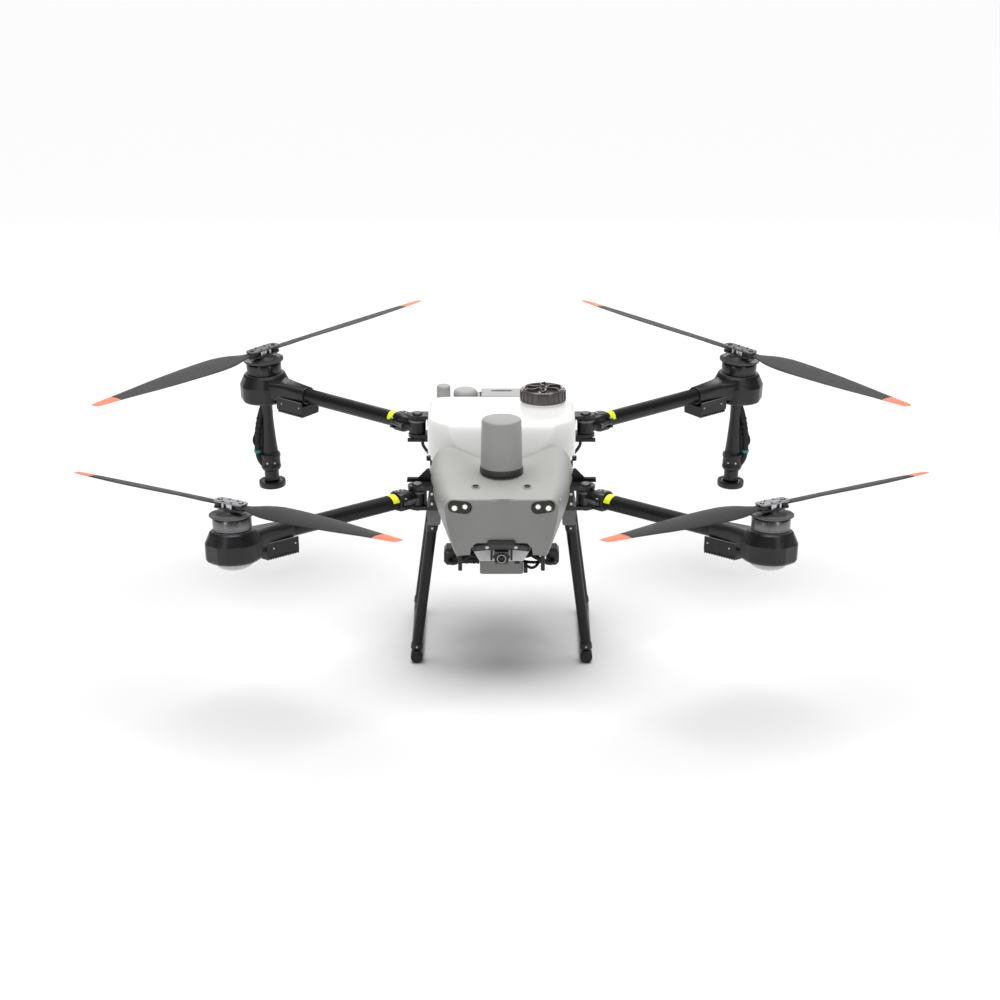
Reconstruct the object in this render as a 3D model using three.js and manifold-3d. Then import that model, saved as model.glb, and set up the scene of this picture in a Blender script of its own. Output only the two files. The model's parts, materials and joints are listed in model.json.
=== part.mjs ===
// A four-rotor agricultural spray drone that folds, built as an assembly of separate parts.
// Millimetres, +Z up. The nose faces -Y and "left" is the -X side. The origin is on the ground, under the middle.
import * as THREE from 'three';
import { mergeVertices } from 'three/addons/utils/BufferGeometryUtils.js';
import Module from 'manifold-3d';

const wasm = await Module();
wasm.setup();

// ---- driving dimensions ----
const GAP = 0.4; // left between parts that touch
const DEG = Math.PI / 180;

const MOTOR_X = 702.5; // half the sideways distance between rotor axes
const MOTOR_Y = 657.5; // half the front-to-back distance between rotor axes
const CANT = 4 * DEG; // each rotor axis leans this much about its arm

const ARMS = {
  front: { rootX: 230, rootY: -245, z: 498, bladeAngle: (180 - 43.4) * DEG, fold: -1 },
  rear: { rootX: 240, rootY: 229, z: 562, bladeAngle: (180 + 43.4) * DEG, fold: 1 },
};

const TUBE_R = 22;
const KNUCKLE_R = 24;
const KNUCKLE_H = 45;
const PIN_R = 6;
const LUG_R = 26;
const LUG_T = 10;
const SLEEVE = 185; // the motor housing's sleeve reaches this far back along the arm

const CAN_R = 52;
const HOUSING_R = 75;
const HOUSING_TOP = 37.5;
const HOUSING_BOTTOM = -45;
const PIVOT = 40; // blade pivots, from the rotor axis
const BLADE_Z = 104; // blade plane above the arm's axis
const BLADE_TIP = 636; // rotor radius
const ROOT_T = 11.2; // thickness of a blade's root

const SPRAY_DISC_Z = -297;

const SKID_X = 236;
const SKID_R = 16;
const SKID_CAP_R = 17;
const LEG_TOP = 454.5;

// ---- colours ----
const paint = (color, roughness, metalness = 0) =>
  new THREE.MeshStandardMaterial({ color, roughness, metalness });
const BLACK = paint(0x1b1c1e, 0.5);
const CARBON = paint(0x17181a, 0.35);
const CHARCOAL = paint(0x2f3033, 0.55);
const PALE_GREY = paint(0xbababa, 0.5);
const MID_GREY = paint(0x8f8f8e, 0.55);
const DARK_GREY = paint(0x4a4b4d, 0.5);
const TANK_WHITE = paint(0xeeeeea, 0.4);
const SMOKE = paint(0x5b4f49, 0.3);
const ALUMINIUM = paint(0x9b9da0, 0.35, 0.9);

// ---- shape helpers ----
function toSolid(geometry) {
  const bare = geometry.index ? geometry.toNonIndexed() : geometry.clone();
  for (const name of Object.keys(bare.attributes)) {
    if (name !== 'position') bare.deleteAttribute(name);
  }
  const welded = mergeVertices(bare, 1e-4);
  const corners = Array.from(welded.index.array);
  const triVerts = [];
  for (let i = 0; i < corners.length; i += 3) {
    const [a, b, c] = corners.slice(i, i + 3);
    if (a !== b && b !== c && c !== a) triVerts.push(a, b, c);
  }
  const vertProperties = new Float32Array(welded.attributes.position.array);
  return new wasm.Manifold(
    new wasm.Mesh({ numProp: 3, vertProperties, triVerts: new Uint32Array(triVerts) }),
  );
}

function toGeometry(solid) {
  const { vertProperties, triVerts } = solid.getMesh();
  const geometry = new THREE.BufferGeometry();
  geometry.setAttribute('position', new THREE.Float32BufferAttribute(vertProperties, 3));
  geometry.setIndex(Array.from(triVerts));
  const faceted = geometry.toNonIndexed();
  faceted.computeVertexNormals();
  return faceted;
}

const join = (...geometries) =>
  toGeometry(geometries.map(toSolid).reduce((all, one) => all.add(one)));
const cut = (geometry, ...tools) =>
  toGeometry(tools.map(toSolid).reduce((all, one) => all.subtract(one), toSolid(geometry)));

/** A box from its low corner to its high corner. */
function block(x0, y0, z0, x1, y1, z1) {
  const geometry = new THREE.BoxGeometry(x1 - x0, y1 - y0, z1 - z0);
  return geometry.translate((x0 + x1) / 2, (y0 + y1) / 2, (z0 + z1) / 2);
}

/** A block and the same block mirrored in X, for the right-hand side. */
const bothSides = (x0, y0, z0, x1, y1, z1) => [
  block(x0, y0, z0, x1, y1, z1),
  block(-x1, y0, z0, -x0, y1, z1),
];

/** A round rod between two points. */
function rod(from, to, radius, segments = 16, endRadius = radius) {
  const a = new THREE.Vector3(...from);
  const b = new THREE.Vector3(...to);
  const along = b.clone().sub(a);
  const geometry = new THREE.CylinderGeometry(endRadius, radius, along.length(), segments);
  const turn = new THREE.Quaternion().setFromUnitVectors(
    new THREE.Vector3(0, 1, 0),
    along.normalize(),
  );
  return geometry.applyQuaternion(turn).translate(...a.add(b).multiplyScalar(0.5).toArray());
}

/** A turned shape about the Z axis, from [radius, z] pairs that start and end on the axis. */
function turned(profile, segments = 20) {
  const points = profile.map(([r, z]) => new THREE.Vector2(r, z));
  if (points[0].y > points[points.length - 1].y) points.reverse();
  return new THREE.LatheGeometry(points, segments).rotateX(Math.PI / 2);
}

/** A rounded rectangle in the XY plane. */
function roundedRectangle(width, depth, radius) {
  const x = width / 2;
  const y = depth / 2;
  const shape = new THREE.Shape();
  shape.absarc(x - radius, y - radius, radius, 0, Math.PI / 2);
  shape.absarc(-x + radius, y - radius, radius, Math.PI / 2, Math.PI);
  shape.absarc(-x + radius, -y + radius, radius, Math.PI, 1.5 * Math.PI);
  shape.absarc(x - radius, -y + radius, radius, 1.5 * Math.PI, 2 * Math.PI);
  return shape;
}

/** A plate with rounded corners, from z upwards by thickness. */
function plate(width, depth, radius, z, thickness, curveSegments = 4) {
  const geometry = new THREE.ExtrudeGeometry(roundedRectangle(width, depth, radius), {
    depth: thickness,
    bevelEnabled: false,
    curveSegments,
  });
  return geometry.translate(0, 0, z);
}

/** A flat outline in the YZ plane, given thickness along X from x0 to x1. */
function sidePlate(outline, x0, x1) {
  const shape = new THREE.Shape(outline.map(([y, z]) => new THREE.Vector2(y, z)));
  const geometry = new THREE.ExtrudeGeometry(shape, { depth: x1 - x0, bevelEnabled: false });
  const axes = new THREE.Matrix4().makeBasis(
    new THREE.Vector3(0, 1, 0),
    new THREE.Vector3(0, 0, 1),
    new THREE.Vector3(1, 0, 0),
  );
  return geometry.applyMatrix4(axes).translate(x0, 0, 0);
}

/** A flat outline in the XZ plane, given thickness along Y from y0 to y1. */
function frontPlate(outline, y0, y1) {
  const shape = new THREE.Shape(outline.map(([x, z]) => new THREE.Vector2(x, z)));
  const geometry = new THREE.ExtrudeGeometry(shape, { depth: y1 - y0, bevelEnabled: false });
  return geometry.rotateX(Math.PI / 2).translate(0, y1, 0);
}

/** A closed skin over rings of equally many points, with a flat fan over each end. */
function loft(rings) {
  const count = rings[0].length;
  const positions = [];
  const faces = [];
  for (const ring of rings) {
    for (const point of ring) positions.push(...point);
  }
  for (let i = 0; i + 1 < rings.length; i += 1) {
    for (let j = 0; j < count; j += 1) {
      const a = i * count + j;
      const b = i * count + ((j + 1) % count);
      faces.push(a, b, b + count, a, b + count, a + count);
    }
  }
  for (const end of [0, rings.length - 1]) {
    const middle = positions.length / 3;
    for (let k = 0; k < 3; k += 1) {
      positions.push(rings[end].reduce((sum, point) => sum + point[k], 0) / count);
    }
    for (let j = 0; j < count; j += 1) {
      const a = end * count + j;
      const b = end * count + ((j + 1) % count);
      faces.push(...(end === 0 ? [middle, b, a] : [middle, a, b]));
    }
  }
  const geometry = new THREE.BufferGeometry();
  geometry.setAttribute('position', new THREE.Float32BufferAttribute(positions, 3));
  geometry.setIndex(faces);
  return facingOut(geometry);
}

/** The same geometry with its faces turned to point outwards. */
function facingOut(geometry) {
  const p = geometry.attributes.position;
  const index = geometry.index.array;
  const corner = (i) => new THREE.Vector3().fromBufferAttribute(p, i);
  let volume = 0;
  for (let i = 0; i < index.length; i += 3) {
    const [a, b, c] = [index[i], index[i + 1], index[i + 2]].map(corner);
    volume += a.dot(b.cross(c));
  }
  if (volume < 0) geometry.setIndex(Array.from(index).reverse());
  return geometry;
}

// ---- the drone ----
const drone = new THREE.Group();
const left = new THREE.Group();
const right = new THREE.Group();
right.scale.x = -1;
drone.add(left, right);

function addPart(name, geometry, material, parent = drone) {
  const mesh = new THREE.Mesh(geometry, material.clone());
  mesh.name = name;
  parent.add(mesh);
  return mesh;
}

/** The left part and its mirrored right-hand twin. */
function addPair(name, geometry, material) {
  addPart(`${name}_left`, geometry, material, left);
  addPart(`${name}_right`, geometry, material, right);
}

// ---- centre frame ----
const RAIL = { inner: 126, outer: 140, bottom: 455, top: 496 };
const WEB_HALF = 26; // half the width of a hinge block along Y

/** The two lugs and the pin that hold an arm's knuckle, and the block behind them. */
function hingeBlock({ rootX, rootY, z }, webOuter) {
  const pieces = [
    block(-webOuter, rootY - WEB_HALF, z - 33, -RAIL.outer + 5, rootY + WEB_HALF, z + 33),
    rod([-rootX, rootY, z - 37], [-rootX, rootY, z + 37], PIN_R, 12),
  ];
  for (const low of [z - KNUCKLE_H / 2 - GAP - LUG_T, z + KNUCKLE_H / 2 + GAP]) {
    pieces.push(block(-rootX, rootY - LUG_R, low, -webOuter + 5, rootY + LUG_R, low + LUG_T));
    pieces.push(rod([-rootX, rootY, low], [-rootX, rootY, low + LUG_T], LUG_R, 16));
  }
  return pieces;
}

function sideFrame() {
  const towerTop = 590;
  const outline = [
    [-262, RAIL.bottom],
    [204, RAIL.bottom],
    [268, RAIL.bottom],
    [268, towerTop - 12],
    [256, towerTop],
    [206, towerTop],
    [204, RAIL.top],
    [-250, RAIL.top],
    [-262, RAIL.top - 12],
  ];
  const frontClip = [
    block(-196, -222, 499, -150, -197, 536),
    block(-259, -213, 528, -190, -197, 536),
  ];
  const rearClip = [
    block(-204, 203, 519, -155, 219, 532),
    block(-268, 203, 519, -200, 219, 527),
  ];
  const outriggers = [
    block(-204, -215, RAIL.bottom, -RAIL.outer + 5, -165, 468),
    block(-204, 180, RAIL.bottom, -RAIL.outer + 5, 220, 468),
  ];
  return join(
    sidePlate(outline, -RAIL.outer, -RAIL.inner),
    ...hingeBlock(ARMS.front, 196),
    ...hingeBlock(ARMS.rear, 204),
    ...frontClip,
    ...rearClip,
    ...outriggers,
  );
}

function frameTray() {
  const deckX = RAIL.inner - GAP;
  return join(
    block(-deckX, -230, 462, deckX, 262, 474),
    ...bothSides(52, -208, 340, 68, -192, 464),
    block(-122, -215, 316, 122, -185, 342),
  );
}

addPair('side_frame', sideFrame(), BLACK);
addPart('frame_tray', frameTray(), BLACK);

// ---- nose ----
// Each station: y, then the right half of the section from the valley's edge round to the underside.
const NOSE = [
  { y: -104, half: [[60, 563], [146, 599], [186, 580], [196, 528], [142, 440]] },
  { y: -150, half: [[62, 566], [157, 601], [191, 577], [198, 532], [144, 438]] },
  { y: -210, half: [[64, 565], [158, 591], [193, 566], [197, 522], [148, 424]] },
  { y: -290, half: [[70, 560], [156, 568], [187, 548], [181, 502], [138, 388]] },
  { y: -350, half: [[76, 548], [148, 550], [172, 533], [164, 494], [124, 374]] },
  { y: -384, half: [[82, 537], [138, 537], [158, 522], [152, 488], [114, 372]] },
  { y: -396, half: [[86, 529], [132, 528], [146, 514], [142, 486], [109, 378]] },
];
const NOSE_WALL = 5;

function noseRing({ y, half }, inset) {
  const lowest = half[half.length - 1][1] + inset;
  const shrink = ([x, z]) => [x - inset, y, Math.max(z - inset, lowest)];
  const rightHalf = half.map(shrink);
  const leftHalf = rightHalf.map(([x, , z]) => [-x, y, z]).reverse();
  return [...rightHalf, ...leftHalf];
}

const WINDOW = { x: 112, z: 514, width: 60, height: 28, tilt: 8 * DEG, y: -398.5, depth: 9 };

/** A pill-shaped window for the lamp and camera pair on the left of the nose. */
function lozenge(grow) {
  const shape = roundedRectangle(
    WINDOW.width + 2 * grow,
    WINDOW.height + 2 * grow,
    WINDOW.height / 2 + grow - 0.5,
  );
  const geometry = new THREE.ExtrudeGeometry(shape, {
    depth: WINDOW.depth,
    bevelEnabled: false,
    curveSegments: 6,
  });
  return geometry
    .rotateZ(-WINDOW.tilt)
    .rotateX(Math.PI / 2)
    .translate(-WINDOW.x, WINDOW.y + WINDOW.depth, WINDOW.z);
}

function noseShell() {
  const outside = loft(NOSE.map((station) => noseRing(station, 0)));
  const inner = NOSE.map((station) => noseRing(station, NOSE_WALL));
  const back = inner[0].map(([x, , z]) => [x, -90, z]);
  const front = inner[inner.length - 1].map(([x, , z]) => [x, -396 + NOSE_WALL, z]);
  const inside = loft([back, ...inner.slice(0, -1), front]);
  const chinNotch = frontPlate([[-86, 350], [86, 350], [82, 392], [68, 409], [-68, 409], [-82, 392]], -410, -340);
  return cut(
    outside,
    inside,
    chinNotch,
    block(-100, -346, 300, 100, -80, 455),
    ...bothSides(120, -274, 462, 215, -216, 534),
    ...bothSides(120, -224, 497, 215, -194, 538.5),
    ...bothSides(120, -217, 453, 215, -163, 470),
    lozenge(GAP),
    mirrored(lozenge(GAP)),
  );
}

/** The same geometry mirrored in X, with its faces turned to match. */
function mirrored(geometry) {
  const flat = geometry.index ? geometry.toNonIndexed() : geometry.clone();
  const p = flat.attributes.position;
  const index = [];
  for (let i = 0; i < p.count; i += 3) index.push(i, i + 2, i + 1);
  for (let i = 0; i < p.count; i += 1) p.setX(i, -p.getX(i));
  flat.setIndex(index);
  return flat;
}

const RADAR_Y = -235;
const RADAR_RING = { bottom: 566.6, top: 581.6, radius: 59.5 };

addPart('nose_shell', noseShell(), PALE_GREY);
addPair('vision_window', lozenge(0), BLACK);
addPart(
  'radar_ring',
  turned([[0, RADAR_RING.bottom], [RADAR_RING.radius - 1.5, RADAR_RING.bottom],
    [RADAR_RING.radius, RADAR_RING.bottom + 2], [RADAR_RING.radius - 1, RADAR_RING.top],
    [0, RADAR_RING.top]]).translate(0, RADAR_Y, 0),
  DARK_GREY,
);
addPart(
  'radar_dome',
  turned([[0, RADAR_RING.top + GAP], [58, RADAR_RING.top + GAP], [55.5, 700], [54, 710],
    [48, 716], [0, 716.5]]).translate(0, RADAR_Y, 0),
  MID_GREY,
);

// ---- avionics box, camera and belly sensors ----
const AVIONICS_FRONT = -334;
const CAMERA = { y: -362, z: 362, half: 19.5 };

addPart(
  'avionics_box',
  frontPlate([[-60, 340], [60, 340], [78, 372], [78, 452], [-78, 452], [-78, 372]], AVIONICS_FRONT, -250),
  PALE_GREY,
);


function gimbalBracket() {
  const arch = new THREE.Shape();
  arch.moveTo(-78, 376);
  arch.quadraticCurveTo(0, 408, 78, 376);
  arch.lineTo(78, 392);
  arch.quadraticCurveTo(0, 420, -78, 392);
  const bar = new THREE.ExtrudeGeometry(arch, { depth: 20, bevelEnabled: false, curveSegments: 12 });
  bar.rotateX(Math.PI / 2).translate(0, CAMERA.y + 8, 0);
  return join(
    bar,
    ...bothSides(24, CAMERA.y - 10, 352, 30, CAMERA.y + 8, 396),
    block(-16, CAMERA.y + 6, 392, 16, AVIONICS_FRONT - GAP, 404),
  );
}

function gimbalCamera() {
  const { y, z, half } = CAMERA;
  return join(
    block(-half, y - 12, z - 20, half, y + 14, z + 20),
    rod([0, y - 11, z], [0, y - 24, z], 14, 24, 12),
    rod([-24 + GAP, y, z], [24 - GAP, y, z], 5, 12),
  );
}

addPart('gimbal_bracket', gimbalBracket(), BLACK);
addPart('gimbal_camera', gimbalCamera(), BLACK);
addPart('belly_radar', plate(120, 100, 8, 0, 42).translate(0, -200, 273.5), MID_GREY);
addPair('pump', block(-159, -226, 292, -122 - GAP, -174, 341), BLACK);
addPair('antenna_rod', rod([-113, -300, 302], [-113, -300, 381], 6, 12), BLACK);

// ---- tank and lid ----
// Each level: z, half width, front y, back y.
const TANK = [
  [498, 150, -60, 176],
  [519, 186, -86, 192],
  [538, 204, -99, 199],
  [570, 207, -101, 200],
  [610, 207, -94, 200],
  [640, 203, -80, 198],
  [654, 192, -64, 190],
  [660, 174, -46, 176],
];
const TANK_WALL = 4;
const CORNER = 34;
const LID = { x: 117, y: 118, bottom: 665, top: 700, radius: 65.5 };
const NECK = { outer: 55, bore: 49, top: 684 };

function tankRing([z, halfWidth, front, back], inset) {
  const radius = CORNER - inset;
  const shape = roundedRectangle(2 * (halfWidth - inset), back - front - 2 * inset, radius);
  const middle = (front + back) / 2;
  return shape.getPoints(3).slice(0, -1).map((point) => [point.x, point.y + middle, z]);
}

function tankBody() {
  const outside = loft(TANK.map((level) => tankRing(level, 0)));
  const hollow = TANK.map(([z, ...rest], i) => [
    i === 0 ? z + TANK_WALL : i === TANK.length - 1 ? z - TANK_WALL : z,
    ...rest,
  ]);
  const inside = loft(hollow.map((level) => tankRing(level, TANK_WALL)));
  const neck = rod([LID.x, LID.y, 652], [LID.x, LID.y, NECK.top], NECK.outer, 24);
  const bore = rod([LID.x, LID.y, 640], [LID.x, LID.y, NECK.top + 5], NECK.bore, 24);
  const shell = toSolid(outside).add(toSolid(neck));
  return toGeometry(shell.subtract(toSolid(inside)).subtract(toSolid(bore)));
}

function tankLid() {
  const { bottom, top, radius } = LID;
  const cup = turned([[0, NECK.top + 2], [NECK.outer + 1, NECK.top + 2], [NECK.outer + 1, bottom],
    [radius - 1, bottom], [radius, bottom + 2], [radius - 1, top - 6], [radius - 7, top], [0, top]], 24);
  const ribs = [];
  const ribCount = 12;
  for (let i = 0; i < ribCount; i += 1) {
    const rib = block(radius - 6, -4, bottom + 3, radius + 2, 4, top - 4);
    ribs.push(rib.rotateZ((i / ribCount) * 2 * Math.PI));
  }
  const grip = block(-46, -7, top - 1, 46, 7, top + 9);
  const valve = rod([0, 0, top], [0, 0, top + 13], 9, 16);
  return join(cup, ...ribs, grip, valve).translate(LID.x, LID.y, 0);
}

addPart('tank', tankBody(), TANK_WHITE);
addPart('tank_lid', tankLid(), SMOKE);

// ---- battery and its bay ----
const BAY = { halfX: RAIL.inner - 1, front: 206, back: 322, bottom: 500, top: 640 };
const POCKET = { halfX: 62, front: 214, back: 304, bottom: 512 };

function rearShell() {
  const outline = [
    [BAY.front, BAY.bottom],
    [BAY.back - 20, BAY.bottom],
    [BAY.back, BAY.bottom + 25],
    [BAY.back, BAY.top - 18],
    [BAY.back - 14, BAY.top],
    [BAY.front, BAY.top],
  ];
  const { halfX, front, back, bottom } = POCKET;
  const footX = RAIL.inner - GAP;
  return cut(
    join(sidePlate(outline, -BAY.halfX, BAY.halfX), block(-footX, 212, 474 + GAP, footX, 256, 505)),
    block(-halfX, front, bottom, halfX, back, BAY.top + 20),
  );
}

function battery() {
  const clear = 2.5;
  const { halfX, front, back, bottom } = POCKET;
  const x = halfX - clear;
  const y0 = front + clear;
  const y1 = back - clear;
  const body = block(-x, y0, bottom + GAP, x, y1, 652);
  const handleGap = block(-34, y0 + 20, 640, 34, y1 - 20, 660);
  const handle = block(-40, (y0 + y1) / 2 - 8, 645, 40, (y0 + y1) / 2 + 8, 652);
  return join(cut(body, handleGap), handle);
}

addPart('rear_shell', rearShell(), PALE_GREY);
addPart('battery', battery(), MID_GREY);
addPart(
  'rear_antenna',
  turned([[0, 595.6], [20, 595.6], [20, 678], [15, 683], [0, 683]], 16).translate(-165, 236, 0),
  MID_GREY,
);
addPart(
  'satellite_antenna',
  turned([[0, BAY.top + GAP], [35, BAY.top + GAP], [35, 650], [30, 658], [0, 662]])
    .translate(-103, 262, 0),
  MID_GREY,
);

// ---- landing gear ----
function leg(y, footY) {
  const shoulder = block(-204, y - 23, 402, -167, y + 23, LEG_TOP);
  const foot = 2 * SKID_CAP_R + GAP;
  const strut = rod([-187, y, 420], [-SKID_X, footY, foot + 6], 15);
  const flange = rod([-SKID_X, footY, foot], [-SKID_X, footY, foot + 14], 18);
  return join(shoulder, strut, flange);
}

function skid() {
  const front = -216;
  const back = 240;
  const z = SKID_CAP_R;
  const cap = (from, to) => rod([-SKID_X, from, z], [-SKID_X, to, z], SKID_CAP_R);
  return join(
    rod([-SKID_X, front + 4, z], [-SKID_X, back - 4, z], SKID_R),
    cap(front, front + 26),
    cap(back - 26, back),
  );
}

addPair('front_leg', leg(-190, -186), BLACK);
addPair('rear_leg', leg(200, 206), BLACK);
addPair('skid', skid(), BLACK);

// ---- arms ----
const LEVER = { pivot: 68, length: 44, inner: 29, outer: 37 };

function armTube(length) {
  const tubeEnd = length - SLEEVE - GAP;
  const { pivot, inner, outer } = LEVER;
  const pivotY = (inner + outer) / 2;
  const body = join(
    rod([0, 0, -KNUCKLE_H / 2], [0, 0, KNUCKLE_H / 2], KNUCKLE_R, 16),
    rod([8, 0, 0], [60, 0, 0], TUBE_R),
    rod([36, 0, 0], [78, 0, 0], 26.5),
    rod([74, 0, 0], [tubeEnd, 0, 0], TUBE_R),
    block(pivot - 7, 10, 8, pivot + 7, outer + 1, 14),
    block(pivot - 7, 10, -14, pivot + 7, outer + 1, -8),
    rod([pivot, pivotY, -13], [pivot, pivotY, 13], 3, 12),
  );
  return cut(
    body,
    rod([0, 0, -30], [0, 0, 30], PIN_R + 0.8, 12),
    rod([110, 0, 0], [tubeEnd + 5, 0, 0], TUBE_R - 3, 12),
  );
}

function lockLever() {
  const { pivot, length, inner, outer } = LEVER;
  const bar = block(pivot - length, inner, -7, pivot + 4.8, outer, 7);
  const tab = block(pivot - length, inner, -7, pivot - length + 12, outer + 5, 7);
  const bore = rod([pivot, (inner + outer) / 2, -20], [pivot, (inner + outer) / 2, 20], 3.5, 12);
  return cut(join(bar, tab), bore);
}

/** The turned motor housing with the square sleeve that takes the end of the arm's tube. */
function motorHousing(withLamp) {
  const lamp = withLamp ? [[0, -76], [18, -74], [31, -67], [38, -55], [40, HOUSING_BOTTOM]] : [[0, HOUSING_BOTTOM]];
  const profile = [...lamp, [60, HOUSING_BOTTOM], [70, -40], [HOUSING_R, -28], [HOUSING_R, 2],
    [70, 18], [61, 31], [57, HOUSING_TOP], [0, HOUSING_TOP]];
  const sleeve = plate(52, 58, 12, 0, SLEEVE - 25, 4).rotateY(Math.PI / 2).translate(-SLEEVE, 0, 0);
  return join(turned(profile, 24), sleeve);
}

/** The speed controller's finned box under the sleeve. */
function speedController() {
  const box = join(
    block(-188, -35, -60, -81, 35, -26 - GAP),
    block(-188, -35, -30, -81, -30.5, -14),
    block(-188, 30.5, -30, -81, 35, -14),
  );
  const grooves = [];
  for (let x = -179; x < -90; x += 14) grooves.push(block(x, -36, -61, x + 6, 36, -50));
  return cut(box, ...grooves);
}

/** The turning part of a motor with the two plates that clamp the blades. */
function rotorHub() {
  const low = BLADE_Z - ROOT_T / 2 - GAP;
  const high = BLADE_Z + ROOT_T / 2 + GAP;
  const plateT = 5;
  const turnedPart = turned([[0, HOUSING_TOP + GAP], [CAN_R - 3, HOUSING_TOP + GAP], [CAN_R, 42],
    [CAN_R, 68], [CAN_R - 5, 72], [CAN_R - 5, 76], [60, 77], [60, 83], [22, 85],
    [22, low - plateT + 1], [0, low - plateT + 1]], 24);
  const pieces = [
    turnedPart,
    plate(2 * PIVOT + 34, 38, 18, low - plateT, plateT),
    plate(2 * PIVOT + 34, 38, 18, high, plateT),
    rod([0, 0, low - 1], [0, 0, high + 1], 14),
  ];
  for (const x of [-PIVOT, PIVOT]) {
    pieces.push(rod([x, 0, low - 1], [x, 0, high + 1], 5, 12));
    pieces.push(rod([x, 0, high + plateT - 1], [x, 0, high + plateT + 3], 7, 6));
  }
  return join(...pieces);
}

// Each station of a blade: distance from its pivot, chord, chord offset, thickness, twist in degrees.
const BLADE = [
  [10, 26, 0, 9.5, 0],
  [50, 43, 1, 9.8, 9],
  [82, 59, 2, 10, 14],
  [130, 69, 3, 10, 16],
  [200, 71, 3, 9.4, 14.4],
  [310, 65, 2, 8, 12],
  [430, 49, 0, 6.4, 9.2],
  [520, 35, -2, 5, 7.4],
  [580, 25, -4, 4, 6.5],
  [BLADE_TIP - PIVOT, 16, -6, 3, 6],
];
const AIRFOIL = [[0.5, 0], [0.36, 0.48], [0, 0.5], [-0.5, 0.07], [-0.5, -0.07], [0, -0.36],
  [0.36, -0.36]];

/** One blade about its pivot, pointing along +X. spin is +1 or -1 for the way its rotor turns. */
function blade(spin) {
  const rings = BLADE.map(([x, chord, offset, thickness, twist]) =>
    AIRFOIL.map(([u, v]) => {
      const y = u * chord + offset;
      const z = v * thickness;
      const a = twist * DEG;
      return [x, spin * (y * Math.cos(a) - z * Math.sin(a)), y * Math.sin(a) + z * Math.cos(a)];
    }),
  );
  const root = rod([0, 0, -ROOT_T / 2], [0, 0, ROOT_T / 2], 16);
  const bore = rod([0, 0, -20], [0, 0, 20], 5.6, 12);
  return cut(join(loft(rings), root), bore);
}

/** The pipe that feeds the spray head, from the housing down the outer side. */
function feedPipe() {
  const route = new THREE.CatmullRomCurve3([
    new THREE.Vector3(14, 0, -70),
    new THREE.Vector3(24, 0, -100),
    new THREE.Vector3(37, 0, -150),
    new THREE.Vector3(39, 0, -205),
    new THREE.Vector3(24, 0, -246),
  ]);
  const circle = new THREE.Shape().absarc(0, 0, 8, 0, 2 * Math.PI);
  return new THREE.ExtrudeGeometry(circle, {
    steps: 8,
    curveSegments: 8,
    bevelEnabled: false,
    extrudePath: route,
  });
}

function sprayHead() {
  const top = HOUSING_BOTTOM - GAP;
  const body = turned([[0, top], [30, top], [30, -56], [17, -64], [17, -110], [20, -150], [24, -212],
    [30, -218], [30, -262], [22, -268], [22, SPRAY_DISC_Z + GAP], [0, SPRAY_DISC_Z + GAP]], 16);
  return join(body, feedPipe().rotateZ(43 * DEG));
}

const sprayDisc = () =>
  turned([[0, SPRAY_DISC_Z], [14, SPRAY_DISC_Z], [14, -301], [38, -302], [40, -305], [40, -317],
    [36, -321], [0, -321]], 20);

/** One arm with everything on it, made for the left side. */
function addArm(end, side, parent) {
  const { rootX, rootY, z, bladeAngle, fold } = ARMS[end];
  const motorY = Math.sign(rootY) * MOTOR_Y;
  const length = Math.hypot(MOTOR_X - rootX, motorY - rootY);
  const angle = Math.atan2(motorY - rootY, -(MOTOR_X - rootX));
  const name = `${end}_${side}`;

  const arm = new THREE.Group();
  arm.position.set(-rootX, rootY, z);
  arm.rotation.z = angle;
  parent.add(arm);
  addPart(`arm_${name}`, armTube(length), CARBON, arm);
  addPart(`lock_lever_${name}`, lockLever(), ALUMINIUM, arm);

  const motor = new THREE.Group();
  motor.position.x = length;
  motor.rotation.x = -fold * CANT;
  arm.add(motor);
  addPart(`motor_housing_${name}`, motorHousing(end === 'front'), BLACK, motor);
  addPart(`speed_controller_${name}`, speedController(), BLACK, motor);

  const rotor = new THREE.Group();
  rotor.rotation.z = bladeAngle - angle;
  motor.add(rotor);
  addPart(`rotor_hub_${name}`, rotorHub(), DARK_GREY, rotor);
  const outer = addPart(`blade_outer_${name}`, blade(-fold), CHARCOAL, rotor);
  outer.position.set(PIVOT, 0, BLADE_Z);
  const inner = addPart(`blade_inner_${name}`, blade(-fold), CHARCOAL, rotor);
  inner.position.set(-PIVOT, 0, BLADE_Z);
  inner.rotation.z = Math.PI;

  if (end === 'rear') {
    addPart(`spray_head_${side}`, sprayHead(), BLACK, motor);
    addPart(`spray_disc_${side}`, sprayDisc(), BLACK, motor);
  }
}

for (const end of Object.keys(ARMS)) {
  addArm(end, 'left', left);
  addArm(end, 'right', right);
}

export default drone;
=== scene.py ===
"""The looks of the agricultural spray drone: visible pieces, materials, studio and camera."""
import json
import math

import bmesh
import bpy
from mathutils import Matrix, Vector


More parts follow.
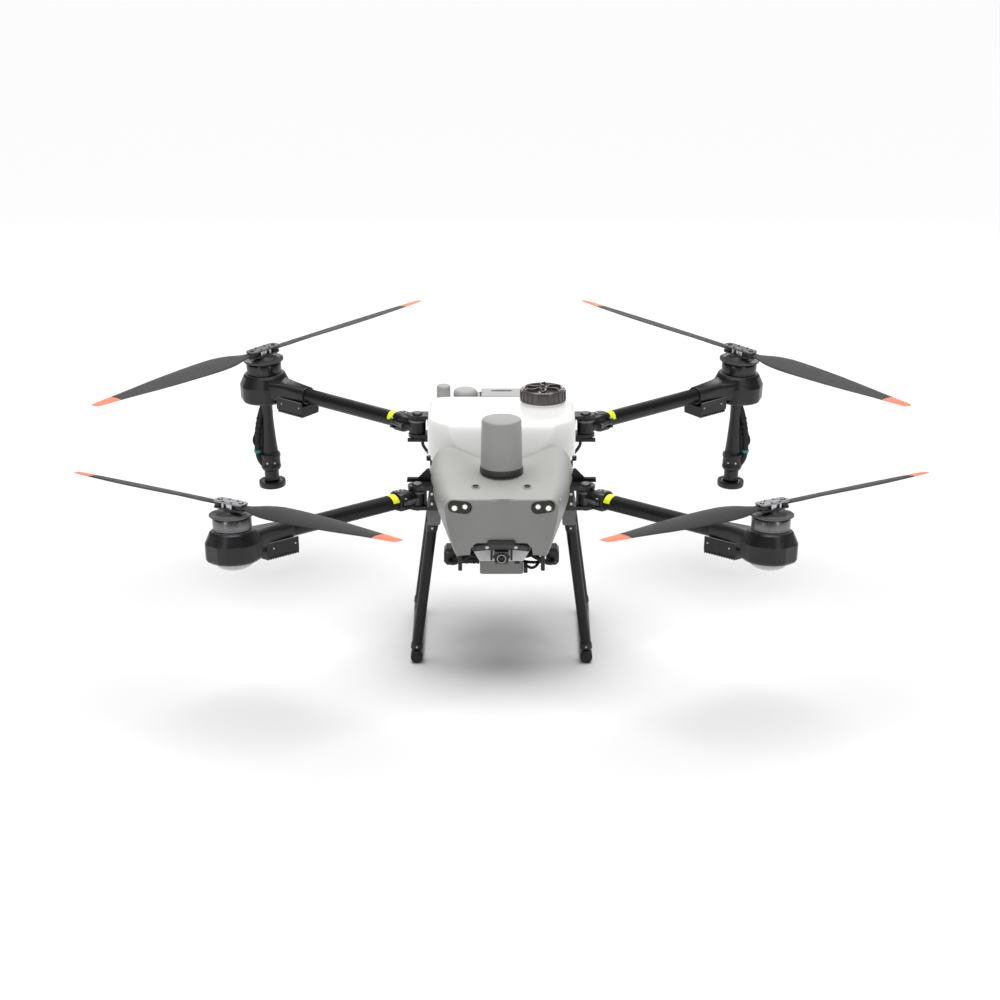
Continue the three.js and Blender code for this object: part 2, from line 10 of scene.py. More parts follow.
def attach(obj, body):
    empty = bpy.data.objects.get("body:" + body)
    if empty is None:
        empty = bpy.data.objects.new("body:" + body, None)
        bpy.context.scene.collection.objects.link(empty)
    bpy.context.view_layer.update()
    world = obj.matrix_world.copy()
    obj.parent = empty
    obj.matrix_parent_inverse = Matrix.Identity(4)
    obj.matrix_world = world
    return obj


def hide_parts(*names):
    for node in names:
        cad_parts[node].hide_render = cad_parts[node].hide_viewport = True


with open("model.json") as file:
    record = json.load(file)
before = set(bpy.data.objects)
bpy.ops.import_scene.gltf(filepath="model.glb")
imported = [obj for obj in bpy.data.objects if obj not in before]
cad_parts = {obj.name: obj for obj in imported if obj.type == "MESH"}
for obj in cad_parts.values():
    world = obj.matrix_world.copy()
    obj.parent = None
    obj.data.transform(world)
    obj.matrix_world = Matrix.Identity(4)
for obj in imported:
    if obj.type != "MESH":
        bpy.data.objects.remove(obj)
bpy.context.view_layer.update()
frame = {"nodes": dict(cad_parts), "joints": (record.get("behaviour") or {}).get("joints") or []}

JOINTS = {joint["name"]: joint for joint in frame["joints"]}
MM = 0.001  # shapes below are drawn in millimetres
SIDES = ("left", "right")
ENDS = ("front", "rear")
TAU = 2 * math.pi
SMALLEST_RADIUS = 0.05  # closes the end of a turned shape


# ---- shapes, in millimetres ----
class Shape:
    """Points and faces with a material number for each face."""

    def __init__(self):
        self.points = []
        self.faces = []
        self.mats = []

    def add(self, points, faces, mat=0):
        """Takes in more points, and faces that count from the first of them."""
        base = len(self.points)
        self.points += [Vector(point) for point in points]
        self.faces += [[base + i for i in face] for face in faces]
        self.mats += [mat] * len(faces)
        return self

    def __add__(self, other):
        both = Shape()
        both.points = self.points + other.points
        shift = len(self.points)
        both.faces = self.faces + [[shift + i for i in face] for face in other.faces]
        both.mats = self.mats + other.mats
        return both

    def moved(self, x=0, y=0, z=0, turn=None):
        """The shape turned by a matrix, if given, then shifted."""
        out = Shape()
        shift = Vector((x, y, z))
        out.points = [(turn @ p if turn else p) + shift for p in self.points]
        out.faces = self.faces
        out.mats = self.mats
        return out


def together(shapes):
    """One shape from several."""
    total = Shape()
    for shape in shapes:
        total = total + shape
    return total


def about_z(degrees):
    """A turn about the Z axis."""
    return Matrix.Rotation(math.radians(degrees), 3, "Z")


def about_x(degrees):
    """A turn about the X axis."""
    return Matrix.Rotation(math.radians(degrees), 3, "X")


def about_y(degrees):
    """A turn about the Y axis."""
    return Matrix.Rotation(math.radians(degrees), 3, "Y")


def loft(rings, mat=0, caps=True):
    """A skin over rings of equally many points."""
    count = len(rings[0])
    faces = []
    for i in range(len(rings) - 1):
        for j in range(count):
            k = (j + 1) % count
            faces.append([i * count + j, i * count + k, (i + 1) * count + k, (i + 1) * count + j])
    if caps:
        faces.append(list(range(count))[::-1])
        faces.append([(len(rings) - 1) * count + j for j in range(count)])
    return Shape().add([p for ring in rings for p in ring], faces, mat)


def circle(radius, z, segments):
    """Points round the Z axis at one height."""
    return [(radius * math.cos(TAU * i / segments), radius * math.sin(TAU * i / segments), z)
            for i in range(segments)]


def turned(profile, segments=64):
    """A shape turned about Z from (radius, z) pairs; a radius of 0 closes it."""
    return loft([circle(max(radius, SMALLEST_RADIUS), z, segments) for radius, z in profile])


def ring(profile, segments=48, mat=0):
    """A closed ring turned about Z from an outline of (radius, z) pairs."""
    return loft([circle(radius, z, segments) for radius, z in profile + profile[:1]], mat, caps=False)


def rod(start, end, radius, end_radius=None, segments=32):
    """A round rod between two points."""
    a = Vector(start)
    along = Vector(end) - a
    shape = turned([(radius, 0), (end_radius or radius, along.length)], segments)
    turn = along.to_track_quat("Z", "Y").to_matrix()
    return shape.moved(*a, turn=turn)


def block(low, high):
    """A box between two opposite corners."""
    x0, y0, z0 = low
    x1, y1, z1 = high
    corners = [(x0, y0), (x1, y0), (x1, y1), (x0, y1)]
    return slab(corners, z0, z1)


def on_side(sign, points):
    """Points given by their distance to the middle plane, on one side of it."""
    return [(sign * x, y, z) for x, y, z in points]


def side_block(sign, x_range, y_range, z_range):
    """A box on one side of the machine, from distances to its middle plane."""
    x0, x1 = sorted(sign * x for x in x_range)
    return block((x0, y_range[0], z_range[0]), (x1, y_range[1], z_range[1]))


def rounded(width, depth, radius, steps=6):
    """A rounded rectangle as XY points."""
    points = []
    corners = [(1, 1, 0), (-1, 1, 1), (-1, -1, 2), (1, -1, 3)]
    for sx, sy, quarter in corners:
        for i in range(steps + 1):
            a = (quarter + i / steps) * math.pi / 2
            points.append((sx * (width / 2 - radius) + radius * math.cos(a),
                           sy * (depth / 2 - radius) + radius * math.sin(a)))
    return points


def slab(outline, low, high, mat=0):
    """An XY outline given thickness from low to high."""
    return loft([[(x, y, low) for x, y in outline], [(x, y, high) for x, y in outline]], mat)


def wall(outline, front, back):
    """An XZ outline given thickness from front to back along Y."""
    return loft([[(x, front, z) for x, z in outline], [(x, back, z) for x, z in outline]])


def smooth_route(points):
    """A Catmull-Rom curve through the points."""
    steps = 8  # from each point to the next
    p = [Vector(point) for point in points]
    p = [2 * p[0] - p[1]] + p + [2 * p[-1] - p[-2]]
    route = []
    for i in range(1, len(p) - 2):
        for s in range(steps):
            t = s / steps
            route.append(0.5 * (2 * p[i] + (p[i + 1] - p[i - 1]) * t
                                + (2 * p[i - 1] - 5 * p[i] + 4 * p[i + 1] - p[i + 2]) * t * t
                                + (3 * p[i] - p[i - 1] - 3 * p[i + 1] + p[i + 2]) * t ** 3))
    return route + [p[-2]]


def pipe(points, radius, segments=16):
    """A round hose along a smooth curve through the points."""
    route = smooth_route(points)
    side = (route[1] - route[0]).orthogonal().normalized()
    rings = []
    for i, centre in enumerate(route):
        ahead = route[min(i + 1, len(route) - 1)] - route[max(i - 1, 0)]
        ahead.normalize()
        side = (side - ahead * side.dot(ahead)).normalized()
        up = ahead.cross(side)
        section = circle(radius, 0, segments)
        rings.append([centre + a * side + b * up for a, b, _ in section])
    return loft(rings)


def screw(x, y, z, radius=4, height=3, turn=None):
    """A socket-head screw standing along its own Z."""
    head = turned([(0, 0), (radius, 0), (radius, height * 0.8), (radius * 0.85, height),
                   (radius * 0.5, height), (radius * 0.45, height * 0.4), (0, height * 0.4)], 24)
    return head.moved(x, y, z, turn)


# ---- pieces ----
SHARP_CORNER = 32  # degrees; a bevel rounds the edges that turn by more


def new_object(name, data):
    """An object linked to the scene."""
    obj = bpy.data.objects.new(name, data)
    bpy.context.scene.collection.objects.link(obj)
    return obj


def ease_edges(obj, width, degrees):
    """Rounds every edge that turns by more than the angle."""
    rounding = obj.modifiers.new("edges", "BEVEL")
    rounding.width = width * MM
    rounding.segments = 2
    rounding.limit_method = "ANGLE"
    rounding.angle_limit = math.radians(degrees)
    rounding.harden_normals = True


def piece(name, shape, materials, body="frame", place=None, bevel=0.0, subdivide=0, replaces=None,
          sharp=40):
    """A Blender object made from a shape, riding on a CAD body, with the given materials."""
    place = place or Matrix.Identity(4)
    mesh = bpy.data.meshes.new(name)
    points = [place @ (p * MM) for p in shape.points]
    flip = place.determinant() < 0
    mesh.from_pydata(points, [], [face[::-1] if flip else face for face in shape.faces])
    for material in materials if isinstance(materials, list) else [materials]:
        mesh.materials.append(material)
    mesh.polygons.foreach_set("material_index", shape.mats)
    work = bmesh.new()
    work.from_mesh(mesh)
    bmesh.ops.remove_doubles(work, verts=work.verts, dist=1e-6)
    bmesh.ops.recalc_face_normals(work, faces=work.faces)
    for face in work.faces:
        face.smooth = True
    if not subdivide:
        rounded_off = math.radians(SHARP_CORNER if bevel else 181)
        for edge in work.edges:
            angle = edge.calc_face_angle(0.0)
            edge.smooth = angle < math.radians(sharp) or angle > rounded_off
    work.to_mesh(mesh)
    work.free()
    obj = new_object(name, mesh)
    if bevel:
        ease_edges(obj, bevel, SHARP_CORNER)
    if subdivide:
        skin = obj.modifiers.new("skin", "SUBSURF")
        skin.levels = subdivide
        skin.render_levels = subdivide
    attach(obj, body)
    if replaces:
        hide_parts(replaces)
    return obj


def cut_away(obj, shape, name):
    """Cuts a shape out of a piece and applies the cut."""
    mesh = bpy.data.meshes.new(name)
    mesh.from_pydata([p * MM for p in shape.points], [], shape.faces)
    work = bmesh.new()
    work.from_mesh(mesh)
    bmesh.ops.recalc_face_normals(work, faces=work.faces)
    work.to_mesh(mesh)
    work.free()
    tool = new_object(name, mesh)
    cut = obj.modifiers.new(name, "BOOLEAN")
    cut.object = tool
    cut.operation = "DIFFERENCE"
    cut.solver = "EXACT"
    bake_modifiers(obj)
    bpy.data.objects.remove(tool)


def bake_modifiers(obj):
    """Replaces the mesh with its evaluated form."""
    bpy.context.view_layer.update()
    depsgraph = bpy.context.evaluated_depsgraph_get()
    mesh = bpy.data.meshes.new_from_object(obj.evaluated_get(depsgraph))
    obj.modifiers.clear()
    obj.data = mesh


def sharpen(obj, degrees):
    """Smooth shading, with sharp edges where the surface turns by more than the angle."""
    work = bmesh.new()
    work.from_mesh(obj.data)
    for face in work.faces:
        face.smooth = True
    for edge in work.edges:
        edge.smooth = edge.calc_face_angle(0.0) < math.radians(degrees)
    work.to_mesh(obj.data)
    work.free()


# ---- materials ----
def put(node, values):
    """Sets a node's inputs by name."""
    for name, value in values.items():
        node.inputs[name].default_value = value


def new_material(name):
    """A node material with its shader and object coordinates."""
    material = bpy.data.materials.new(name)
    material.use_nodes = True
    tree = material.node_tree
    shader = tree.nodes["Principled BSDF"]
    where = tree.nodes.new("ShaderNodeTexCoord")
    return material, tree, shader, where.outputs["Object"]


def noise(tree, where, scale, detail=3.0, stretch=None):
    """A noise value, stretched along each axis if asked."""
    node = tree.nodes.new("ShaderNodeTexNoise")
    put(node, {"Scale": scale, "Detail": detail})
    if stretch:
        mapping = tree.nodes.new("ShaderNodeMapping")
        put(mapping, {"Scale": stretch})
        tree.links.new(where, mapping.inputs["Vector"])
        where = mapping.outputs["Vector"]
    tree.links.new(where, node.inputs["Vector"])
    return node.outputs["Fac"]


def ramp(tree, value, low, high, start=0.3, end=0.7):
    """Maps a value between two colours."""
    node = tree.nodes.new("ShaderNodeValToRGB")
    node.color_ramp.elements[0].position = start
    node.color_ramp.elements[0].color = (*low, 1)
    node.color_ramp.elements[1].position = end
    node.color_ramp.elements[1].color = (*high, 1)
    tree.links.new(value, node.inputs["Fac"])
    return node.outputs["Color"]


def spread(tree, value, low, high):
    """Maps a 0 to 1 value onto a range."""
    node = tree.nodes.new("ShaderNodeMapRange")
    put(node, {"To Min": low, "To Max": high})
    tree.links.new(value, node.inputs["Value"])
    return node.outputs["Result"]


def bump(tree, shader, height, strength, distance=0.0004):
    """Turns a height value into surface relief, in metres."""
    node = tree.nodes.new("ShaderNodeBump")
    put(node, {"Strength": strength, "Distance": distance})
    tree.links.new(height, node.inputs["Height"])
    tree.links.new(node.outputs["Normal"], shader.inputs["Normal"])


def moulded(name, colour, roughness, shade=0.12, grain=2600, depth=0.25, metallic=0.0):
    """Moulded or painted surface: fine spark-eroded grain, and slow changes of tone and gloss."""
    material, tree, shader, where = new_material(name)
    slow = noise(tree, where, 9, 4)
    low = [c * (1 - shade) for c in colour]
    high = [min(c * (1 + shade), 1.0) for c in colour]
    tree.links.new(ramp(tree, slow, low, high), shader.inputs["Base Color"])
    marks = noise(tree, where, 60, 5)
    tree.links.new(spread(tree, marks, roughness - 0.07, roughness + 0.09), shader.inputs["Roughness"])
    bump(tree, shader, noise(tree, where, grain, 2), depth)
    put(shader, {"Metallic": metallic})
    return material


def paint_shade_in_front(material, factor):
    """Painted shade: deepens the colour where the surface faces the machine's front, as if that face were
    turned from the light.
    """
    tree = material.node_tree
    shader = tree.nodes["Principled BSDF"]
    where = tree.nodes.new("ShaderNodeTexCoord")
    parts = tree.nodes.new("ShaderNodeSeparateXYZ")
    tree.links.new(where.outputs["Normal"], parts.inputs["Vector"])
    facing = tree.nodes.new("ShaderNodeMapRange")
    put(facing, {"From Min": -0.55, "From Max": -0.95, "To Min": 1.0, "To Max": factor})
    tree.links.new(parts.outputs["Y"], facing.inputs["Value"])
    painted_shade = tree.nodes.new("ShaderNodeVectorMath")
    painted_shade.operation = "SCALE"
    tree.links.new(shader.inputs["Base Color"].links[0].from_socket, painted_shade.inputs["Vector"])
    tree.links.new(facing.outputs["Result"], painted_shade.inputs["Scale"])
    tree.links.new(painted_shade.outputs["Vector"], shader.inputs["Base Color"])
    return material


def woven_carbon(name, colour, roughness):
    """Carbon tube: a small twill under a thin satin lacquer."""
    material, tree, shader, where = new_material(name)
    checker = tree.nodes.new("ShaderNodeTexChecker")
    put(checker, {"Scale": 260})
    mapping = tree.nodes.new("ShaderNodeMapping")
    put(mapping, {"Rotation": (0.6, 0.5, math.radians(45))})
    tree.links.new(where, mapping.inputs["Vector"])
    tree.links.new(mapping.outputs["Vector"], checker.inputs["Vector"])
    tint = tree.nodes.new("ShaderNodeMix")
    tint.data_type = "RGBA"
    put(tint, {"A": (*[c * 0.8 for c in colour], 1), "B": (*[c * 1.35 for c in colour], 1)})
    tree.links.new(checker.outputs["Fac"], tint.inputs["Factor"])
    tree.links.new(tint.outputs["Result"], shader.inputs["Base Color"])
    gloss = noise(tree, where, 40, 4)
    tree.links.new(spread(tree, gloss, roughness - 0.06, roughness + 0.08), shader.inputs["Roughness"])
    bump(tree, shader, checker.outputs["Fac"], 0.1, 0.0002)
    put(shader, {"Specular IOR Level": 0.3, "Coat Weight": 0.1, "Coat Roughness": 0.12})
    return material


def brushed(name, colour, roughness, stretch=(900, 900, 20)):
    """Metal with fine brushing."""
    material, tree, shader, where = new_material(name)
    lines = noise(tree, where, 1.0, 3, stretch)
    tree.links.new(ramp(tree, lines, [c * 0.85 for c in colour], colour), shader.inputs["Base Color"])
    tree.links.new(spread(tree, lines, roughness - 0.06, roughness + 0.1), shader.inputs["Roughness"])
    bump(tree, shader, lines, 0.12, 0.0002)
    put(shader, {"Metallic": 1.0})
    return material


def milky_tank(name, tone):
    """Blow-moulded polyethylene: milky, faintly wavy, with a painted glow standing in for the light that
    passes through its wall.
    """
    material, tree, shader, where = new_material(name)
    slow = noise(tree, where, 6, 3)
    low = [tone * c for c in (0.98, 0.98, 0.97)]
    high = [tone * c for c in (1.02, 1.02, 1.01)]
    tree.links.new(ramp(tree, slow, low, high), shader.inputs["Base Color"])
    # painted glow: the emission stands in for light passing through the milky wall
    put(shader, {"Emission Color": (1.0, 1.0, 0.985, 1), "Emission Strength": 0.44 * tone})
    tree.links.new(spread(tree, noise(tree, where, 30, 3), 0.28, 0.42), shader.inputs["Roughness"])
    bump(tree, shader, noise(tree, where, 35, 2), 0.25, 0.0008)
    put(shader, {"Subsurface Weight": 0.7, "Subsurface Radius": (1.0, 0.98, 0.95), "Subsurface Scale": 0.08,
                 "Coat Weight": 0.15})
    return material


def smoked(name):
    """Smoky brown translucent plastic of the filler lid."""
    material, tree, shader, where = new_material(name)
    slow = noise(tree, where, 25, 4)
    tree.links.new(ramp(tree, slow, (0.070, 0.060, 0.058), (0.105, 0.09, 0.088)), shader.inputs["Base Color"])
    tree.links.new(spread(tree, noise(tree, where, 90, 3), 0.24, 0.34), shader.inputs["Roughness"])
    bump(tree, shader, noise(tree, where, 500, 2), 0.1)
    put(shader, {"Transmission Weight": 0.12, "Coat Weight": 0.3})
    return material


def lamp_glass(name, colour, glow):
    """A lens with a faint glow and a faceted reflector behind it."""
    material, tree, shader, where = new_material(name)
    cells = tree.nodes.new("ShaderNodeTexVoronoi")
    put(cells, {"Scale": 420})
    tree.links.new(where, cells.inputs["Vector"])
    tree.links.new(ramp(tree, cells.outputs["Distance"], colour, [c * 0.75 for c in colour], 0.1, 0.9),
                   shader.inputs["Base Color"])
    put(shader, {"Emission Color": (*colour, 1), "Emission Strength": glow, "Roughness": 0.12,
                 "Coat Weight": 0.6})
    return material


PALE = moulded("pale_grey_shell", (0.40, 0.405, 0.385), 0.48, shade=0.04, depth=0.1)
# the nose shell, with painted shade on its front face
NOSE_SHELL_PAINTED_SHADE = paint_shade_in_front(
    moulded("pale_nose_shell_painted_shade", (0.40, 0.405, 0.385), 0.48, shade=0.04, depth=0.1), 0.66)
CASE = moulded("light_case", (0.66, 0.66, 0.65), 0.45, shade=0.04, depth=0.1)
LIGHT = moulded("light_grey_plastic", (0.43, 0.43, 0.425), 0.46, shade=0.04, depth=0.1)
RADAR = moulded("radar_cover_grey", (0.36, 0.358, 0.35), 0.42, shade=0.05, depth=0.1)
SHOULDER = moulded("shoulder_grey", (0.18, 0.18, 0.185), 0.5, shade=0.08)
FLANGE = moulded("flange_grey", (0.095, 0.095, 0.098), 0.42, shade=0.08)
DARK = moulded("dark_grey_ring", (0.045, 0.045, 0.047), 0.32, shade=0.1)
BELLY = moulded("belly_grey", (0.215, 0.215, 0.21), 0.42, shade=0.06, depth=0.1)
BLACK = moulded("black_moulding", (0.009, 0.009, 0.0105), 0.36, shade=0.25)
RUBBER = moulded("rubber", (0.008, 0.008, 0.009), 0.6, shade=0.3, grain=900, depth=0.4)
HOUSING = moulded("motor_housing_black", (0.0095, 0.0095, 0.0115), 0.36, shade=0.2, depth=0.15)
SINK = moulded("heat_sink_black", (0.014, 0.014, 0.016), 0.36, shade=0.15, metallic=0.3)
CARBON = woven_carbon("carbon_tube", (0.006, 0.006, 0.0066), 0.4)
BLADE = moulded("blade_composite", (0.031, 0.031, 0.033), 0.5, shade=0.1, grain=1500, depth=0.3)
TIP = moulded("blade_tip_orange", (0.88, 0.24, 0.13), 0.5, shade=0.05)
BAND = moulded("yellow_green_band", (0.90, 1.0, 0.02), 0.45, shade=0.03)
TEAL = moulded("teal_clip", (0.02, 0.30, 0.27), 0.4, shade=0.1)
STEEL = brushed("bright_steel", (0.62, 0.62, 0.64), 0.25)
MOTOR = brushed("motor_can_metal", (0.21, 0.21, 0.216), 0.26)
# a darker copy of the can metal: painted shade for the rear cans
CAN_METAL_PAINTED_SHADE = brushed("can_metal_painted_shade", (0.06, 0.06, 0.062), 0.22)
PLATE_METAL = brushed("hub_plate_metal", (0.36, 0.36, 0.375), 0.34, stretch=(30, 900, 900))
LEVER_METAL = brushed("lever_metal", (0.16, 0.16, 0.165), 0.38)
TANK = milky_tank("tank_plastic", 0.62)
# a darker copy of the tank plastic: painted shade for the slanted front corners
TANK_CORNER_SHADE = milky_tank("tank_corner_painted_shade", 0.57)
SMOKE = smoked("smoked_lid")
LAMP = lamp_glass("lamp_lens", (0.95, 0.93, 0.82), 0.35)
STATUS = lamp_glass("status_lens", (0.50, 0.50, 0.51), 0.0)
LENS = moulded("camera_glass", (0.004, 0.004, 0.005), 0.22, shade=0.2, depth=0.0)


# ---- nose ----
# Each station: y, then the right half of the section from the valley's middle round to the underside.
NOSE = [
    (-104, [(0, 562), (58, 563), (84, 575), (128, 594), (152, 598), (178, 586),
            (193, 556), (196, 520), (176, 480), (143, 441)]),
    (-150, [(0, 565), (60, 566), (88, 577), (136, 597), (160, 600), (183, 588),
            (196, 560), (198, 524), (178, 480), (145, 439)]),
    (-210, [(0, 564), (62, 564), (92, 572), (138, 588), (162, 590), (184, 578),
            (196, 550), (197, 515), (178, 466), (149, 425)]),
    (-290, [(0, 559), (66, 559), (94, 562), (134, 568), (158, 567), (177, 556),
            (187, 530), (182, 496), (164, 440), (139, 389)]),
    (-350, [(0, 547), (68, 548), (96, 549), (130, 550), (148, 549), (163, 540),
            (171, 520), (165, 486), (150, 425), (130, 374)]),
    (-380, [(0, 539), (70, 539), (96, 539), (124, 539), (138, 538), (150, 530),
            (157, 512), (153, 480), (141, 421), (122, 372)]),
]
NOSE_FRONT = -395.4
NOSE_WALL = 4.0


def nose_ring(y, half):
    """A closed section from its right half."""
    return [(x, y, z) for x, z in half] + [(-x, y, z) for x, z in half[1:]][::-1]


def nose_outside():
    """All sections of the nose, with a rounded brow and a face that leans back below it."""
    rings = [nose_ring(y, half) for y, half in NOSE]
    y, half = NOSE[-1]
    brow = [(x * 0.985, z - 2 if z > 500 else z) for x, z in half]
    face = [(x * 0.955, z - 6 if z > 500 else z + 2) for x, z in half]
    outline = nose_ring(NOSE_FRONT, face)
    leaning = [(x, y + max(530 - z, 0) * 0.11, z) for x, y, z in outline]
    return rings + [nose_ring(-391.5, brow), leaning]


def build_nose():
    """The light grey fairing: open below, with gaps for hinges, clips, legs, windows and screws."""
    rings = nose_outside()
    count = len(rings[0])
    faces = []
    open_from = len(NOSE[0][1]) - 1  # the underside stays open between the two lower edges
    for i in range(len(rings) - 1):
        for j in range(count):
            k = (j + 1) % count
            if j == open_from:
                continue
            faces.append([i * count + j, i * count + k, (i + 1) * count + k, (i + 1) * count + j])
    last = (len(rings) - 1) * count
    half = len(NOSE[0][1])
    right = [last + j for j in range(half)]
    left = [last + count - j for j in range(half)]
    faces.append([right[0], right[1], right[2], left[2], left[1]])
    for j in range(2, half - 1):  # the rest of the front face, in strips between its two halves
        faces.append([right[j], right[j + 1], left[j + 1], left[j]])
    shell = Shape().add([p for section in rings for p in section], faces)
    nose = piece("nose_fairing", shell, NOSE_SHELL_PAINTED_SHADE, subdivide=2, replaces="nose_shell")
    work = bmesh.new()
    work.from_mesh(nose.data)
    crease = work.edges.layers.float.new("crease_edge")
    for edge in work.edges:
        ys = [v.co.y / MM for v in edge.verts]
        if max(ys) < NOSE_FRONT + 12 and edge.calc_face_angle(0) > math.radians(25):
            edge[crease] = 0.72
        if edge.is_boundary:
            edge[crease] = 1.0
    work.to_mesh(nose.data)
    work.free()
    thick = nose.modifiers.new("wall", "SOLIDIFY")
    thick.thickness = NOSE_WALL * MM
    thick.offset = -1
    bake_modifiers(nose)
    cut_away(nose, wall([(-88, 340), (88, 340), (83, 392), (70, 408), (-70, 408), (-83, 392)], -412, -342),
             "chin_notch")
    for sign in (-1, 1):
        cut_away(nose, side_block(sign, (120, 216), (-275, -215), (462, 534)), "hinge_gap")
        cut_away(nose, side_block(sign, (120, 216), (-224, -193), (496, 539)), "clip_gap")
        cut_away(nose, side_block(sign, (120, 216), (-218, -162), (400, 471)), "leg_gap")
        cut_away(nose, window_outline(sign, WINDOW_W + 1.2, WINDOW_H + 1.2, -404, -388), "window_gap")
        screw_x, screw_y = sign * NOSE_SCREW[0], NOSE_SCREW[1]
        cut_away(nose, rod((screw_x, screw_y, 560), (screw_x, screw_y, 546), 8), "screw_well")
    sharpen(nose, 32)


WINDOW_X = 112
WINDOW_Z = 514
WINDOW_W = 60
WINDOW_H = 28
NOSE_SCREW = (70, -333)  # distance to the middle plane, and y
RADAR_Y = -235


def window_outline(sign, width, height, front, back):
    """A pill-shaped slab that leans down towards the middle of the nose."""
    flat = wall(rounded(width, height, height / 2 - 0.5, 10), front, back)
    return flat.moved(sign * WINDOW_X, 0, WINDOW_Z, about_y(sign * -8))


def build_windows():
    """Vision windows with two lamps each, the side lights and the two screws on top of the nose."""
    for sign, side in zip((-1, 1), SIDES):
        glass = window_outline(sign, WINDOW_W, WINDOW_H, -398.4, -390.5)
        piece(f"window_{side}", glass, LENS, bevel=1.6, replaces=f"vision_window_{side}")
        frame_ring = window_outline(sign, WINDOW_W + 4.4, WINDOW_H + 6.6, -397.0, -390)
        piece(f"window_frame_{side}", frame_ring, BLACK, bevel=1.4)
        for name, dx, radius in (("outer", 14.6 * sign, 9), ("inner", -13.6 * sign, 8.2)):
            at = (sign * WINDOW_X + dx, -398.0, WINDOW_Z + sign * dx * -0.14)
            cup = ring([(radius + 1.6, 0), (radius + 1.6, 1.6), (radius, 1.6), (radius - 0.6, 0)], 36)
            piece(f"lamp_cup_{name}_{side}", cup.moved(*at, about_x(90)), DARK)
            bulb = turned([(0, 0), (radius - 1.2, 0), (radius - 1.6, 0.8), (radius * 0.5, 1.3), (0, 1.5)], 32)
            piece(f"lamp_{name}_{side}", bulb.moved(*at, about_x(90)), LAMP, sharp=60)
        dot = turned([(0, 0), (3.4, 0), (3.4, 1), (2, 2), (0, 2.4)], 20)
        piece(f"side_light_{side}", dot.moved(sign * 158.5, -372, 528, about_z(sign * 38) @ about_x(76)),
              STATUS)
        boss = turned([(0, -5), (14, -5), (13.4, 0), (12, 2.4), (10.4, 2.8), (10, 0.4), (0, 0.4)], 36)
        lean = about_x(10)
        screw_x, screw_y = sign * NOSE_SCREW[0], NOSE_SCREW[1]
        piece(f"screw_boss_{side}", boss.moved(screw_x, screw_y, 551.2, lean), PALE, sharp=40)
        piece(f"nose_screw_{side}", screw(screw_x, screw_y, 551.4, 7.6, 4.4, lean), DARK)


def build_radar():
    """The round radar on the nose and its ribbed base ring."""
    base = turned([(0, 566.7), (57.6, 566.7), (59.4, 568), (59.4, 570.4), (58, 571), (58, 572.6),
                   (59.3, 573.2), (59.3, 575.6), (58, 576.2), (58, 577.6), (59, 578.2), (58.6, 581),
                   (57.8, 581.6), (0, 581.6)], 96)
    piece("radar_base_ring", base.moved(0, RADAR_Y), DARK, replaces="radar_ring", sharp=30)
    dome = turned([(0, 582), (57.2, 582), (57.8, 583), (57.8, 586), (57, 587), (56.9, 590), (54.4, 706),
                   (54.1, 710.4), (52.8, 713.6), (50.4, 715.4), (47.4, 716), (0, 716.4)], 96)
    piece("radar_cover", dome.moved(0, RADAR_Y), RADAR, replaces="radar_dome", sharp=24)


# ---- tank and lid ----
# Each level: z, half width, front y, back y, width of the slanted front corners.
TANK_LEVELS = [
    (498.2, 140, -48, 168, 14), (500, 148, -57, 174, 16), (514, 176, -78, 188, 24),
    (530, 198, -94, 197, 32), (540, 205.6, -100, 200, 36), (552, 207, -101, 200, 38),
    (590, 207, -101, 200, 37), (625, 206.6, -97, 199.8, 31), (643, 205.4, -90, 199, 26),
    (651, 202, -84, 197, 22), (656.6, 195, -74, 191, 18), (659.4, 184, -60, 181, 14),
    (660, 166, -40, 164, 12), (660, 120, 0, 120, 8),
]
FILLER = (117, 118)  # the filler's axis, x and y
LID_RISE = 3.2  # how far the lid sits above its drawn height
CORNER_LEVELS = range(3, 9)  # the levels between which the slanted corners get painted shade
CORNER_STRIPS = (3, 4, 5)  # the strips of a section that make up a slanted corner


def tank_level(z, half, front, back, slant):
    """A section with soft rear corners and slanted front corners, which get wider towards the foot."""
    bend = half * min(max(0.47 + (z - 552) * 0.0024, 0.45), 0.72)
    right = [(0, front), (half * 0.3, front), (bend - 3, front), (bend + 3, front + 1.5),
             ((bend + half - 14) / 2, front + slant * 0.75), (half - 14, front + slant * 1.6),
             (half - 4, front + 12 + slant * 1.9), (half, front + 26 + slant * 2.2),
             (half, front + 50 + slant * 2.4), (half, back - 60), (half, back - 36), (half - 3, back - 18),
             (half - 12, back - 6), (half - 30, back), (half * 0.6, back), (half * 0.3, back)]
    left = [(-x, y) for x, y in right[1:]][::-1]
    return [(x, y, z) for x, y in right + [(0, back)] + left]


def build_tank():
    """The milky tank with its slanted front corners, the filler neck and the raised foot round it."""
    body = loft([tank_level(*level) for level in TANK_LEVELS])
    count = len(tank_level(*TANK_LEVELS[0]))
    # painted shade: the slanted corners take the darker copy of the tank plastic
    for i in CORNER_LEVELS:
        for j in CORNER_STRIPS:
            body.mats[i * count + j] = 1
            body.mats[i * count + count - 1 - j] = 1
    tank = piece("tank_shell", body, [TANK, TANK_CORNER_SHADE], "tank", subdivide=2, replaces="tank")
    bake_modifiers(tank)
    sharpen(tank, 60)
    neck = turned([(0, 655), (55, 655), (55, 662), (52, 663.5), (52, 684), (49.4, 684), (49.4, 658),
                   (0, 658)], 72)
    piece("filler_neck", neck.moved(*FILLER), TANK, "tank", sharp=35)
    rise = turned([(0, 652), (78, 652), (74, 658), (66, 661.4), (60, 662.6), (0, 662.6)], 72)
    piece("neck_foot", rise.moved(*FILLER), TANK, "tank", sharp=60)


